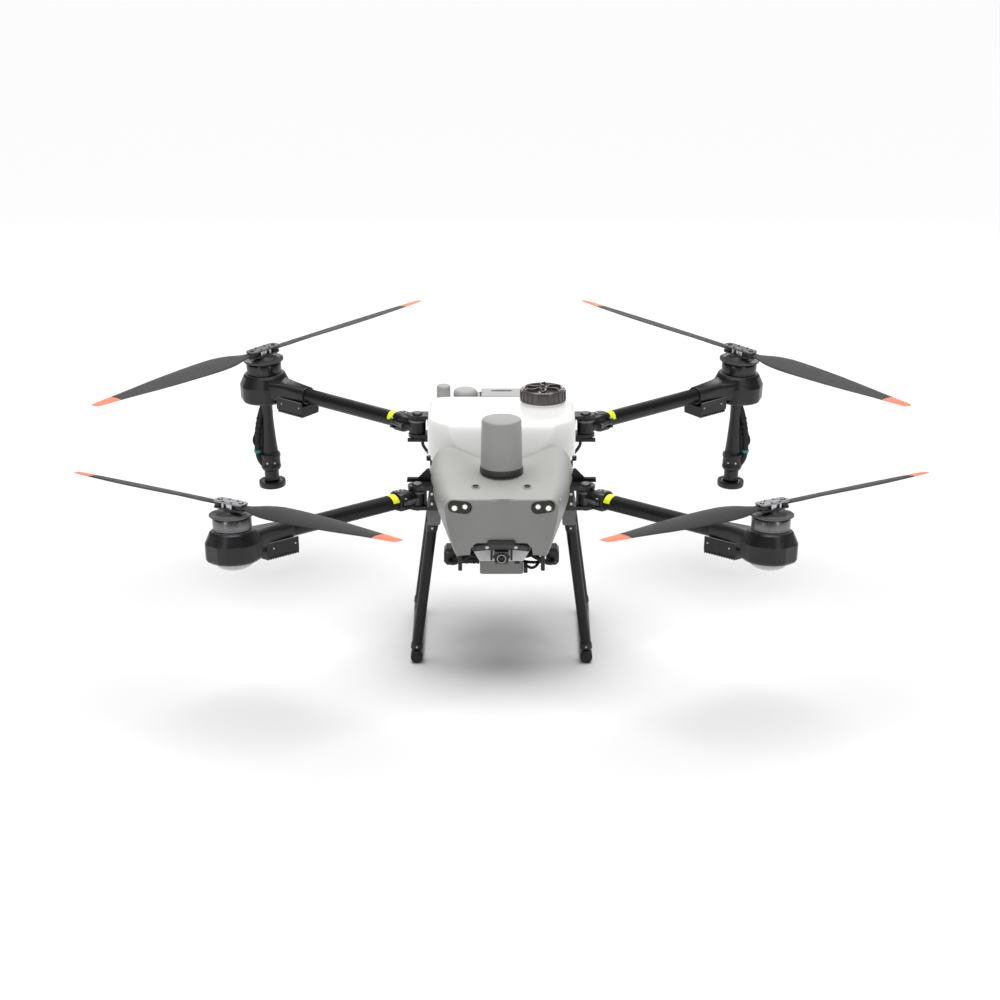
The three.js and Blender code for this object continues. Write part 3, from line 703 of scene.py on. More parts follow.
def build_lid():
    """A ribbed screw lid: a low disc with curved spokes, a knurled side and a small valve."""
    cap = turned([(56.6, 665.4), (64.8, 665.4), (65.5, 666.4), (65.5, 669.4), (63.2, 670.4), (62.4, 693),
                  (61, 698), (57.4, 700), (52, 699), (50.6, 695.4), (16, 695.4), (14.6, 699), (0, 699),
                  (0, 690), (56, 688), (56.6, 684)], 96)
    piece("lid_cap", cap.moved(*FILLER, LID_RISE), SMOKE, "tank_lid", replaces="tank_lid", sharp=30)
    ribs = together([block((61.6, -2, 670), (65.0, 2, 694)).moved(turn=about_z(15 * i)) for i in range(24)])
    spokes = []
    for i in range(6):
        curve = [(14 + 7.6 * k, 11 * math.sin(k / 5 * math.pi) - 2) for k in range(6)]
        outer = [(x, y + 4.2) for x, y in curve][::-1]
        spokes.append(slab(curve + outer, 695, 704).moved(turn=about_z(60 * i + 24)))
    piece("lid_ribs", (ribs + together(spokes)).moved(*FILLER, LID_RISE), SMOKE, "tank_lid", bevel=0.9)
    valve = turned([(0, 698), (12.6, 698), (12.6, 703), (10, 705), (5.4, 706), (5.4, 711), (4.4, 712.6),
                    (0, 713)], 40)
    piece("lid_valve", valve.moved(*FILLER), SMOKE, "tank_lid", sharp=35)


# ---- camera bracket, camera and the rest of the belly ----
def arch(low_end, low_middle, half):
    """Points along an arch from left to right."""
    steps = 24
    return [(-half + 2 * half * i / steps, low_end + (low_middle - low_end) * (1 - (2 * i / steps - 1) ** 2))
            for i in range(steps + 1)]


def build_chin():
    """The end of the avionics case and the arched bracket that carries the camera."""
    front = -334
    outline = [(-60, 340), (60, 340), (78, 372), (78, 452), (-78, 452), (-78, 372)]
    piece("avionics_case", wall(outline, front, -250), CASE, bevel=3, replaces="avionics_box")
    rim = wall([(-56, 343), (56, 343), (72, 372), (72, 380), (-72, 380), (-72, 372)], front - 3, front + 1)
    piece("avionics_rim", rim, CASE, bevel=1.4)
    slot_shape = wall([(-40, 405), (40, 405), (35, 417), (-35, 417)], -389.5, -376)
    piece("chin_slot", slot_shape, BLACK, bevel=1.5)
    lower = arch(379.6, 385.4, 77)
    upper = arch(397, 405.4, 77)[::-1]
    bar = wall(lower + upper, -373.5, -354.5)
    ridge = wall(arch(383, 389, 70) + arch(394.6, 402.4, 70)[::-1], -374.3, -372)
    ears = together([block((sx - 3, -367, 352.5), (sx + 3, -354.5, 392)) for sx in (-27, 27)])
    stem = block((-15, -356, 392.5), (15, front - 0.5, 403.5))
    piece("camera_bracket", bar + ears + stem, BLACK, bevel=2.2, replaces="gimbal_bracket")
    piece("bracket_face", ridge, DARK, bevel=1.2)
    screws = together([screw(x, -373.8, 393, 4.6, 2.2, about_x(90)) for x in (-39, 39)])
    piece("bracket_screws", screws, STEEL)


def build_camera():
    """The tilting camera: a finned body, a lens barrel and its glass."""
    y, z = -362, 362
    case = block((-19.3, y - 8.5, z - 19.5), (19.3, y + 13.5, z + 19.5))
    pins = rod((-23, y, z), (23, y, z), 4.8)
    piece("camera_case", case + pins, BLACK, "gimbal_camera", bevel=3, replaces="gimbal_camera")
    fins = together([block((-19.2, y - 10.6, z + dz - 1), (19.2, y - 8, z + dz + 1))
                     for dz in (-16, -12, 12, 16)])
    piece("camera_fins", fins, SHOULDER, "gimbal_camera", bevel=0.5)
    barrel = turned([(0, 0), (14.4, 0), (14.4, 4), (12.8, 5), (12.8, 9.4), (12, 10.2), (9.4, 10.2), (8.6, 7),
                     (0, 7)], 48)
    piece("camera_barrel", barrel.moved(0, y - 8.5, z, about_x(90)), DARK, "gimbal_camera", sharp=30)
    glass = turned([(0, 0), (8.6, 0), (7.6, 1.2), (4, 2.0), (0, 2.3)], 40).moved(0, y - 15.4, z, about_x(90))
    piece("camera_lens", glass, LENS, "gimbal_camera", sharp=60)
    rim = ring([(10.4, 9.8), (11.6, 9.8), (11.6, 10.7), (10.4, 10.7)], 48).moved(0, y - 8.5, z, about_x(90))
    piece("camera_rim", rim, STEEL, "gimbal_camera", sharp=30)


BELLY_RADAR_Y = -200
TRUNK = (-206, 303)  # y and z of the ribbed hose between belly radar and pump
PUMP_X = 140
WAND = (113, -300)  # distance to the middle plane, and y


def build_belly():
    """The downward radar, the two pumps with their hoses, the antenna wands and the leads."""
    shell = slab(rounded(119, 99, 9, 6), 273.9, 315)
    piece("belly_radar_case", shell.moved(0, BELLY_RADAR_Y), BELLY, bevel=2.5, replaces="belly_radar")
    face = slab(rounded(104, 84, 6, 5), 273.6, 275)
    piece("belly_radar_face", face.moved(0, BELLY_RADAR_Y), SHOULDER, bevel=0.8)
    plugs = together([block((36, -256, 306), (50, -242, 322)), block((60.4, -246, 276), (72, -214, 300)),
                      block((62, -252, 286), (70, -244, 296))])
    piece("belly_plugs", plugs, BLACK, bevel=1.5)
    trunk = rod((-122, *TRUNK), (-60.5, *TRUNK), 11.6)
    rings = together([rod((x, *TRUNK), (x + 4, *TRUNK), 13.2) for x in (-118, -98, -78, -66)])
    piece("belly_trunk", trunk + rings, RUBBER, bevel=0.8)
    lead = pipe([(60, -212, 300), (76, -218, 299), (98, -216, 298), (122, -206, 300)], 4.2, 14)
    elbow = pipe([(70, -234, 293), (82, -238, 289), (94, -234, 292), (102, -222, 299)], 4.0, 12)
    piece("belly_leads", lead + elbow, RUBBER)
    for sign, side in zip((-1, 1), SIDES):
        section = [(122.6, 292.4), (150, 292.4), (158.6, 302), (158.6, 330), (151, 340.6), (122.6, 340.6)]
        case = wall([(sign * x, z) for x, z in section], -225.5, -174.5)
        cover = [(127, 298), (148, 298), (154, 305), (154, 326), (149, 335), (127, 335)]
        lid = wall([(sign * x, z) for x, z in cover], -227.5, -224)
        pump_x = sign * PUMP_X
        port = rod((pump_x, -226, 306), (pump_x, -240, 306), 7, 6, 24)
        piece(f"pump_case_{side}", case + lid + port, BLACK, bevel=2.4, replaces=f"pump_{side}")
        bolts = together([screw(pump_x + dx, -227.2, z, 2.6, 1.8, about_x(90))
                          for dx, z in ((-9, 330), (9, 303))])
        piece(f"pump_bolts_{side}", bolts, SHOULDER)
        route = [(PUMP_X, -238, 306), (132, -252, 308), (108, -252, 318), (80, -236, 330), (66, -214, 352)]
        hose = pipe(on_side(sign, route), 6.5)
        piece(f"pump_hose_{side}", hose, RUBBER)
        wand = turned([(0, 302.3), (4.6, 302.3), (5.8, 304), (5.8, 372), (7.5, 374), (7.5, 380.6),
                       (0, 380.6)], 32)
        wand_x = sign * WAND[0]
        piece(f"antenna_wand_{side}", wand.moved(wand_x, WAND[1]), BLACK, replaces=f"antenna_rod_{side}",
              sharp=35)
        foot = block((wand_x - 11, -309, 376.5), (wand_x + 11, -291, 382))
        piece(f"antenna_foot_{side}", foot, BLACK, bevel=1.5)
        route = [(44, -244, 318), (62, -258, 326), (92, -262, 336), (104, -286, 362), (108, -296, 378)]
        cable = pipe(on_side(sign, route), 3.2, 12)
        piece(f"antenna_cable_{side}", cable, RUBBER)


# ---- centre frame and rear ----
def soften(node, width, material):
    """A CAD node kept as it is, with its edges eased and a finish."""
    obj = frame["nodes"][node]
    obj.data.materials.clear()
    obj.data.materials.append(material)
    ease_edges(obj, width, 35)


def build_frame():
    """The black structure with its hinge webs, caps and bolts, stow clips, straps and tank clamps."""
    soften("frame_tray", 1.5, BLACK)
    for side in SIDES:
        soften(f"side_frame_{side}", 1.5, BLACK)
    for sign, side in zip((-1, 1), SIDES):
        for end in ENDS:
            x, y, z = [v / MM for v in JOINTS[f"arm_fold_{end}_{side}"]["pos_m"]]
            web = side_block(sign, (204, 211), (y - 16, y + 16), (z - 22.6, z + 22.6))
            piece(f"hinge_web_{end}_{side}", web, BLACK, bevel=1.2)
            caps = turned([(0, 33.2), (15, 33.2), (15, 36), (12, 38.4), (0, 38.4)], 40)
            low = turned([(0, -38.4), (12, -38.4), (15, -36), (15, -33.2), (0, -33.2)], 40)
            piece(f"hinge_caps_{end}_{side}", (caps + low).moved(x, y, z), DARK, sharp=35)
            bolts = [screw(x - sign * 46, y + dy, z + 33, 4, 3) for dy in (-17, 17)]
            bolts += [screw(x - sign * 40, y - 26, z + dz, 4, 3, about_x(90)) for dz in (-14, 14)]
            piece(f"hinge_bolts_{end}_{side}", together(bolts), STEEL)
        pad = side_block(sign, (198, 258), (-212, -198), (536.2, 539))
        piece(f"stow_pad_{side}", pad, RUBBER, bevel=1)
        section = [(190, 536), (206, 536), (232, 536), (203, 566), (197, 566)]
        gusset = wall([(sign * x, z) for x, z in section], -212, -204)
        piece(f"clip_gusset_{side}", gusset, BLACK, bevel=1.2)
        route = [(226, 204, 524), (222, 203, 506), (204, 201, 484), (176, 196, 470)]
        strap = pipe(on_side(sign, route), 4.6, 12)
        piece(f"frame_strap_{side}", strap, BLACK)
        knob = turned([(0, 0), (7, 0), (8, 3), (8, 9), (6, 12), (0, 12)], 28)
        clamp = knob.moved(sign * 196, -92, 560, about_y(sign * 90))
        piece(f"tank_clamp_{side}", clamp, BLACK, sharp=35)


MAST = (-165, 236)  # x and y of the rear antenna
SATELLITE = (-103, 262)  # x and y of the satellite antenna


def build_rear():
    """The rear bay with its vents, the battery in its pocket and the two antennas."""
    outline = [(206.3, 500.5), (302, 500.5), (321.5, 525), (321.5, 622), (308, 639.6), (206.3, 639.6)]
    bay = loft([[(x, y, z) for y, z in outline] for x in (-124.6, 124.6)])
    shell = piece("rear_bay", bay + block((-120, 213, 474.8), (120, 255, 506)), PALE, bevel=5,
                  replaces="rear_shell")
    bake_modifiers(shell)
    cut_away(shell, block((-62, 214, 512), (62, 304, 660)), "battery_pocket")
    sharpen(shell, 32)
    vents = together([block((-70 + 28 * i, 320.4, 552), (-52 + 28 * i, 322, 600)) for i in range(6)])
    piece("bay_vents", vents, BLACK, bevel=0.7)
    case = block((-59.2, 216.8, 512.6), (59.2, 301.2, 639))
    top = block((-57, 219, 638), (57, 299, 651.4))
    piece("battery_case", case + top, LIGHT, "battery", bevel=3, replaces="battery")
    grip = block((-11, 218.4, 642.6), (11, 219.6, 646.4))
    recess = slab(rounded(60, 14, 6, 5), 651.2, 651.7).moved(0, 272)
    piece("battery_grip", grip + recess, BLACK, "battery")
    light = turned([(0, 651), (2.4, 651), (2.4, 651.8), (0, 651.8)], 16)
    lights = together([light.moved(-12 + 8 * i, 288) for i in range(4)])
    piece("battery_lights", lights, STATUS, "battery")
    mast = turned([(0, 595.8), (19, 595.8), (19.6, 598), (19.6, 664), (18.9, 665), (18.9, 667), (19.6, 668),
                   (19.4, 674), (17.8, 677), (15, 678.6), (0, 679)], 56)
    piece("rear_mast", mast.moved(*MAST), LIGHT, replaces="rear_antenna", sharp=35)
    stand = turned([(0, 602), (30, 602), (33.6, 612), (33.6, 640.4), (0, 640.4)], 64)
    piece("satellite_stand", stand.moved(*SATELLITE), LIGHT, sharp=40)
    puck = turned([(0, 640.6), (34.4, 640.6), (34.8, 642), (34.4, 650), (31, 656.6), (26, 659.6), (18, 661.2),
                   (0, 661.8)], 72)
    piece("satellite_puck", puck.moved(*SATELLITE), LIGHT, replaces="satellite_antenna", sharp=40)


# ---- legs and skids ----
SKID_X = 236
SKID_Z = 17
LEGS = (("front", -190, -186), ("rear", 200, 206))  # name, y at the shoulder, y at the foot


def build_legs():
    """Four struts with shoulder covers and sockets, and two runners with end shoes."""
    for sign, side in zip((-1, 1), SIDES):
        skid_x = sign * SKID_X
        for end, y, foot_y in LEGS:
            x_in, x_out = sorted((sign * 167.5, sign * 203.6))
            cover = wall([(x_in, 403), (x_in + 5, 402.4), (x_out - 5, 402.4), (x_out, 407), (x_out, 447),
                          (x_out - 5, 454), (x_in + 5, 454), (x_in, 448)], y - 22.6, y + 22.6)
            piece(f"shoulder_{end}_{side}", cover, SHOULDER, bevel=3.5)
            strut = rod((sign * 187, y, 425), (skid_x, foot_y, 42), 14.6, None, 40)
            piece(f"strut_{end}_{side}", strut, CARBON, replaces=f"{end}_leg_{side}")
            collar = rod((sign * 189.6, y, 404.5), (sign * 192.5, y + 0.2, 382), 17.2, 16, 40)
            foot = rod((sign * 234.6, foot_y, 53), (skid_x, foot_y, 35), 16.4, 17.6, 40)
            piece(f"strut_sockets_{end}_{side}", collar + foot, BLACK, bevel=1.6)
            top_bolt = screw(sign * 190.5, y - 16.4, 393, 3, 2, about_x(90))
            foot_bolt = screw(sign * 235.5, foot_y - 16.6, 44, 3, 2, about_x(90))
            piece(f"strut_bolts_{end}_{side}", top_bolt + foot_bolt, STEEL)
        runner = rod((skid_x, -214, SKID_Z), (skid_x, 238, SKID_Z), 15.8, None, 48)
        piece(f"runner_{side}", runner, CARBON, replaces=f"skid_{side}")
        shoe = turned([(0, 0), (12, 0), (15.4, 1.6), (16.9, 5), (16.9, 24), (16.2, 26), (0, 26)], 40)
        ends = shoe.moved(skid_x, -216, SKID_Z, about_x(-90)) + shoe.moved(skid_x, 240, SKID_Z, about_x(90))
        piece(f"runner_shoes_{side}", ends, RUBBER, sharp=35)
        sleeves = together([rod((skid_x, foot_y - 24, SKID_Z), (skid_x, foot_y + 24, SKID_Z), 16.9, None, 40)
                            for end, y, foot_y in LEGS])
        piece(f"runner_sleeves_{side}", sleeves, BLACK, bevel=1.5)


# ---- arms, motors and rotors ----
def axes(origin, x, z, side):
    """A frame from its origin, X and Z. The right side is the left side's mirror image."""
    x = (x - z * x.dot(z)).normalized()
    y = z.cross(x) if side == "left" else x.cross(z)
    m = Matrix((x, y, z)).transposed().to_4x4()
    m.translation = origin
    return m


def arm_places(end, side):
    """The arm's frame at its hinge, the motor's frame, the rotor's frame and the arm's length in mm."""
    hinge = Vector(JOINTS[f"arm_fold_{end}_{side}"]["pos_m"])
    spin = JOINTS[f"rotor_spin_{end}_{side}"]
    hub = Vector(spin["pos_m"])
    lean = Vector(spin["axis"]).normalized()
    outer = Vector(JOINTS[f"blade_fold_outer_{end}_{side}"]["pos_m"])
    arm = axes(hinge, hub - hinge, Vector((0, 0, 1)), side)
    motor = axes(hub, hub - hinge, lean, side)
    rotor = axes(hub, outer - hub, lean, side)
    return arm, motor, rotor, (hub - hinge).length / MM


TUBE_RADIUS = 22.0
LEVER_PIVOT = (68, 33)  # x and y in the arm's frame


def build_arm(end, side, place, length):
    """The carbon tube, its hinge knuckle and collar, the coloured band and the lock lever."""
    tag = f"{end}_{side}"
    body = f"arm_{tag}"
    tube = rod((74, 0, 0), (length - 185, 0, 0), TUBE_RADIUS - 0.2, None, 56)
    piece(f"tube_{tag}", tube, CARBON, body, place, replaces=body)
    knuckle = turned([(0, -22.4), (22.6, -22.4), (24, -20.8), (24, 20.8), (22.6, 22.4), (0, 22.4)], 48)
    stations = [(10, 17, 20), (28, 18, 20.5), (36, 24, 24.5), (42, 26, 26), (72, 26, 26), (78, 23.4, 23.4)]
    neck = loft([[(x, y * w, z * h) for y, z in rounded(2, 2, 0.5, 4)] for x, w, h in stations])
    piece(f"root_{tag}", knuckle + neck, BLACK, body, place, bevel=1.6)
    # painted highlight: a grey band along the knuckle's upper edge
    rim = ring([(23.8, 12), (25, 12), (25, 17), (23.8, 17)])
    piece(f"knuckle_highlight_band_{tag}", rim, SHOULDER, body, place, sharp=30)
    rib = turned([(0, 0), (26.4, 0), (26.4, 4), (0, 4)], 48)
    ribs = together([rib.moved(x, 0, 0, about_y(90)) for x in (42, 56, 70)])
    piece(f"root_ribs_{tag}", ribs, BLACK, body, place, bevel=0.8)
    ears = together([block((61.5, 12, zs * 11 - 2.8), (74.5, 37.8, zs * 11 + 2.8)) for zs in (-1, 1)])
    piece(f"lever_ears_{tag}", ears, BLACK, body, place, bevel=1.2)
    pin = screw(*LEVER_PIVOT, 13.6, 3.6, 1.6)
    top_bolts = together([screw(x, y, 25.4, 3, 2) for x, y in ((49, -5), (63, -5))])
    piece(f"root_bolts_{tag}", pin + top_bolts, STEEL, body, place)
    piece(f"band_{tag}", band_patch(83, 104, TUBE_RADIUS), BAND, body, place, sharp=50)
    lever = block((27, 29.3, -6.4), (72.6, 34, 6.4)) + block((24.4, 29.3, -6.6), (35, 41, 6.6))
    curve = pipe([(26, 35, 0), (38, 34.4, 0), (54, 35.2, 0), (71, 33.4, 0)], 4.0, 14)
    piece(f"lever_{tag}", lever + curve, LEVER_METAL, f"lock_lever_{tag}", place, bevel=1.6,
          replaces=f"lock_lever_{tag}")


def band_patch(start, end, radius):
    """A coloured label wrapped over the top and one side of the tube, with slanted ends."""
    low, high = 8, 150  # degrees round the tube
    steps = 24
    rows = []
    for x in (start, end):
        row = []
        for i in range(steps + 1):
            a = math.radians(low + (high - low) * i / steps)
            shift = (i / steps - 0.5) * 6
            row.append((x + shift, math.cos(a), math.sin(a)))
        rows.append(row)
    points = []
    for reach in (radius - 0.3, radius + 0.35):
        for row in rows:
            points += [(x, c * reach, s * reach) for x, c, s in row]
    n = steps + 1
    faces = []
    for i in range(steps):
        for a, b in ((0, 1), (3, 2), (2, 0), (1, 3)):
            faces.append([a * n + i, b * n + i, b * n + i + 1, a * n + i + 1])
    faces.append([0, n, 3 * n, 2 * n])
    faces.append([steps, n + steps, 3 * n + steps, 2 * n + steps])
    return Shape().add(points, faces)


def faceted(profile, flats):
    """A turned body with flat faces towards the given angles; each ring says how flat they are."""
    half_angle = 18  # degrees that a flat reaches to each side
    segments = 96
    rings = []
    for radius, z, keen in profile:
        section = []
        for i in range(segments):
            a = TAU * i / segments
            reach = 1.0
            for flat in flats:
                off = math.radians(abs((math.degrees(a) - flat + 180) % 360 - 180))
                if off < math.radians(half_angle):
                    reach = 1 - keen * (1 - math.cos(math.radians(half_angle)) / math.cos(off))
            r = max(radius * reach, SMALLEST_RADIUS)
            section.append((r * math.cos(a), r * math.sin(a), z))
        rings.append(section)
    return loft(rings)


FINS = 13
FIN_STEP = 8.2


def build_motor(end, side, place):
    """The motor's housing with its sleeve, the front ones' lamp dome and the finned speed controller."""
    tag = f"{end}_{side}"
    body = f"arm_{tag}"
    profile = [(0, -44.6, 0), (66, -44.6, 0), (71, -42.4, 1), (75, -37, 1), (75.4, 5, 1), (62, 33, 0),
               (58, 37.2, 0), (0, 37.2, 0)]
    drum = faceted(profile, [0, 58, -58, 116, -116])
    piece(f"drum_{tag}", drum, HOUSING, body, place, bevel=1.2, sharp=8, replaces=f"motor_housing_{tag}")
    lip = ring([(50, 37.3), (56, 37.3), (56, 37.9), (50, 37.9)], 72)
    piece(f"drum_lip_{tag}", lip, SHOULDER, body, place, sharp=30)
    stations = [(-184.6, 24.8, 24.8, 0, 0.9), (-182.6, 26, 26, 0, 0.86), (-150, 27.4, 26, 0, 0.72),
                (-110, 29, 26.4, 0, 0.5), (-70, 38, 29, -2, 0.5), (-36, 52, 33, -5, 0.5)]
    sleeve = loft([[(x, y * w, z * h + dz) for y, z in rounded(2, 2, round_off, 5)]
                   for x, w, h, dz, round_off in stations])
    piece(f"sleeve_{tag}", sleeve, HOUSING, body, place, bevel=0.6)
    if end == "front":
        dome = turned([(52, -44), (51.6, -48), (50, -53), (46, -58), (39, -63), (28, -67.8), (14, -70.8),
                       (0, -71.6)], 64)
        piece(f"status_lens_{side}", dome, STATUS, body, place, sharp=60)
    sink = block((-187.6, -34.6, -51), (-81.4, 34.6, -27))
    for i in range(FINS):
        x = -187 + FIN_STEP * i
        sink = sink + block((x, -34.6, -59.6), (x + 3.2, 34.6, -50))
    sink = sink + block((-188, -35, -51), (-81, -30.8, -14.2)) + block((-188, 30.8, -51), (-81, 35, -14.2))
    piece(f"controller_{tag}", sink, SINK, body, place, bevel=0.8, replaces=f"speed_controller_{tag}")
    edge = together([block((-187, ys - 1.2, -15.6), (-82, ys + 1.2, -13.4)) for ys in (-33.6, 33.6)])
    piece(f"controller_edge_{tag}", edge, SHOULDER, body, place)
    screws = together([screw(x, ys * 34.8, -30, 2.6, 1.2, about_x(-90 * ys)) for x in (-176, -104)
                       for ys in (-1, 1)])
    piece(f"controller_screws_{tag}", screws, STEEL, body, place)


PIVOT_X = 40  # distance from the rotor's axis to each blade's pivot


def build_rotor(end, side, place):
    """The motor's turning can with its flange, and the two plates that clamp the blades."""
    tag = f"{end}_{side}"
    body = f"rotor_{tag}"
    can = turned([(0, 38), (48.6, 38), (50.6, 39), (51.6, 41), (51.6, 44.6), (50.9, 45.2), (50.9, 46),
                  (51.6, 46.6), (51.8, 67), (50.4, 70.4), (46.8, 72), (46.8, 76.4), (0, 76.4)], 96)
    # painted shade: the rear cans take the darker copy of the can metal
    piece(f"can_{tag}", can, MOTOR if end == "front" else CAN_METAL_PAINTED_SHADE, body, place,
          replaces=f"rotor_hub_{tag}", sharp=30)
    disc = []
    for i in range(96):  # every eighth point is set back, for the notches in the flange's rim
        a = TAU * i / 96
        radius = 59.6 if i % 8 else 58.2
        disc.append((radius * math.cos(a), radius * math.sin(a)))
    flange = slab(disc, 76.7, 82.6)
    # painted shade: the rear flanges take the darker grey
    piece(f"flange_{tag}", flange, FLANGE if end == "front" else DARK, body, place, bevel=0.9)
    boss = turned([(0, 82), (42, 82), (41, 84), (27, 85.6), (23, 88), (22, 92.6), (0, 92.6)], 72)
    piece(f"flange_boss_{tag}", boss, DARK, body, place, sharp=35)
    low, high = 98.0, 110.0  # the gap between the two plates
    shoe = rounded(114, 38, 17.6, 8)
    # painted shade: the rear plates and screws take the darker flange grey, and every hub's lower plate the
    # dark grey
    metal = PLATE_METAL if end == "front" else FLANGE
    piece(f"hub_plates_{tag}", slab(shoe, low - 4.8, low - 0.1, 1) + slab(shoe, high + 0.1, high + 4.8),
          [metal, DARK], body, place, bevel=1.0)
    posts = rod((0, 0, low - 1), (0, 0, high + 1), 13.6, None, 40)
    for x, y in ((-20, 0), (20, 0), (-16, 14), (16, 14), (-16, -14), (16, -14)):
        posts = posts + rod((x, y, low - 1), (x, y, high + 1), 3.4, None, 20)
    for x in (-PIVOT_X, PIVOT_X):
        posts = posts + rod((x, 0, low - 3), (x, 0, high + 3), 4.8, None, 28)
    piece(f"hub_posts_{tag}", posts, STEEL, body, place, sharp=30)
    tops = [screw(x, 0, high + 4.6, 6.6, 3.4) for x in (-PIVOT_X, PIVOT_X)]
    tops += [screw(x, y, high + 4.6, 3.2, 2.4) for x in (-16, 16) for y in (-12, 12)]
    piece(f"hub_screws_{tag}", together(tops), metal, body, place, sharp=30)


# Each station of a blade: distance from its pivot, chord, chord offset, thickness, twist in degrees.
BLADE_STATIONS = [
    (9, 25, 0, 9.2, 0), (22, 27, 0, 9.2, 2), (36, 34, 0, 9.2, 6), (50, 43, 1, 9.4, 9),
    (64, 51, 1.4, 9.6, 12), (82, 59, 2, 9.8, 14), (104, 65, 2.4, 9.8, 15.2), (130, 69, 3, 9.6, 15.8),
    (160, 71, 3, 9.4, 15.2), (200, 71, 3, 9, 14.4), (250, 69, 2.6, 8.4, 13.2), (310, 65, 2, 7.6, 12),
    (370, 58, 1, 6.8, 10.6), (430, 49, 0, 6.0, 9.2), (480, 41, -1, 5.2, 8), (520, 35, -2, 4.6, 7.4),
]
ORANGE_STATIONS = [(520, 35, -2, 4.6, 7.4), (545, 31.5, -2.6, 4.2, 7), (570, 28, -3.2, 3.8, 6.6),
                   (588, 24, -3.8, 3.2, 6.3), (594, 21, -4.4, 2.4, 6)]
SLANT = 0.9  # how far the tip's rings lean back across the chord


def blade_ring(x, chord, offset, thickness, twist, slant):
    """A cambered section of the blade, turned by its twist."""
    points = 14  # on each of its two sides
    section = []
    a = math.radians(twist)
    for i in range(2 * points):
        t = i / points
        u = math.cos(math.pi * t)  # 1 at the leading edge, -1 at the trailing edge
        s = (1 + u) / 2
        camber = 0.06 * chord * (1 - u * u) * 0.5
        half = thickness * 0.5 * (1.9 * math.sqrt(max(1 - s, 0)) * s ** 0.62 + 0.06)
        v = camber + (half if t < 1 else -half * 0.8)
        y = u * chord / 2 + offset
        reach = x - slant * (chord / 2 - y) * 0.5
        section.append((reach, y * math.cos(a) - v * math.sin(a), y * math.sin(a) + v * math.cos(a)))
    return section


def build_blade(which, end, side, rotor):
    """One blade. Both blades of a rotor twist alike; front and rear rotors turn opposite ways."""
    place = rotor @ Matrix.Rotation(0 if which == "outer" else math.pi, 4, "Z")
    place.translation = Vector(JOINTS[f"blade_fold_{which}_{end}_{side}"]["pos_m"])
    hand = 1 if end == "front" else -1
    dark = loft([blade_ring(*station, SLANT * max(station[0] - 380, 0) / 140) for station in BLADE_STATIONS])
    tip = loft([blade_ring(*station, SLANT) for station in ORANGE_STATIONS], 1)
    root = ring([(5.7, -5.5), (14.8, -5.5), (15.8, -4.5), (15.8, 4.5), (14.8, 5.5), (5.7, 5.5)], 40)
    bush = ring([(5.2, -5.55), (7.4, -5.55), (7.4, 5.55), (5.2, 5.55)], 32, 2)
    whole = dark + tip + root + bush
    whole.points = [Vector((p.x, hand * p.y, p.z)) for p in whole.points]
    name = f"blade_{which}_{end}_{side}"
    piece(f"vane_{which}_{end}_{side}", whole, [BLADE, TIP, STEEL], name, place, replaces=name, sharp=42)


def build_spray(side, place):
    """The spray head under a rear motor: stem, feed hose, collars and the spinning disc."""
    body = f"arm_rear_{side}"
    stem = turned([(0, -45.8), (29.6, -45.8), (29.6, -54), (26, -57), (18, -62), (16.6, -70), (16.6, -108),
                   (18.4, -140), (21.4, -185), (23.8, -208), (25, -214)], 56)
    collar = turned([(25, -214), (29, -216), (30, -219), (30, -226), (28.4, -228), (28.4, -252), (29.6, -254),
                     (29.6, -260), (26, -266), (21.6, -269), (21.6, -292), (24, -294), (24, -296.4),
                     (0, -296.4)], 56)
    piece(f"spray_stem_{side}", stem + collar, BLACK, body, place, replaces=f"spray_head_{side}", sharp=32)
    out = about_z(43)  # towards the outer rear, where the hose hangs
    hose = pipe([(12, 0, -70), (18, 0, -86), (27, 0, -120), (34, 0, -160), (36.6, 0, -200), (33, 0, -230),
                 (23, 0, -250)], 9.4, 24)
    stations = [(10, 18, -84), (12, 27, -120), (14, 34, -160), (14, 36, -205), (14, 30, -236)]
    web = loft([[(x0, -3, z), (x1, -3, z), (x1, 3, z), (x0, 3, z)] for x0, x1, z in stations])
    hook = pipe([(30, 0, -150), (42, 0, -158), (47, 0, -172), (45, 0, -186), (36, 0, -192)], 3.2, 12)
    piece(f"spray_hose_{side}", (hose + web + hook).moved(turn=out), RUBBER, body, place)
    ridges = []
    for i in range(4):
        ridges.append(pipe_ring(9.4, 11.2, 3.4).moved(24 + 3.2 * i, 0, -108 - 16 * i, about_y(-14)))
    piece(f"hose_ridges_{side}", together(ridges).moved(turn=out), BLACK, body, place, sharp=30)
    nut = pipe_ring(9.2, 11.6, 9).moved(36.4, 0, -212)
    piece(f"spray_teal_{side}", nut.moved(turn=out), TEAL, body, place, sharp=30)
    screws = together([screw(28.2, 0, -240, 3, 1.6, about_y(90)).moved(turn=about_z(angle))
                       for angle in (250, 295, 115, 160)])
    piece(f"spray_screws_{side}", screws, STEEL, body, place)
    disc = turned([(0, -297.2), (13.6, -297.2), (13.6, -300.6), (36, -301.4), (39, -302.4), (39.8, -305),
                   (39.8, -316), (38.6, -319), (35, -320.6), (28, -320.8), (26, -317), (0, -317)], 72)
    grooves = together([block((30, -1.2, -301.4), (39.2, 1.2, -300.4)).moved(turn=about_z(15 * i))
                        for i in range(24)])
    piece(f"disc_{side}", disc + grooves, BLACK, f"spray_disc_{side}", place, replaces=f"spray_disc_{side}",
          sharp=32)


def pipe_ring(inner, outer, height):
    """A short round collar standing on Z."""
    return ring([(inner, 0), (outer - 0.6, 0), (outer, 0.6), (outer, height - 0.6), (outer - 0.6, height),
                 (inner, height)], 32)


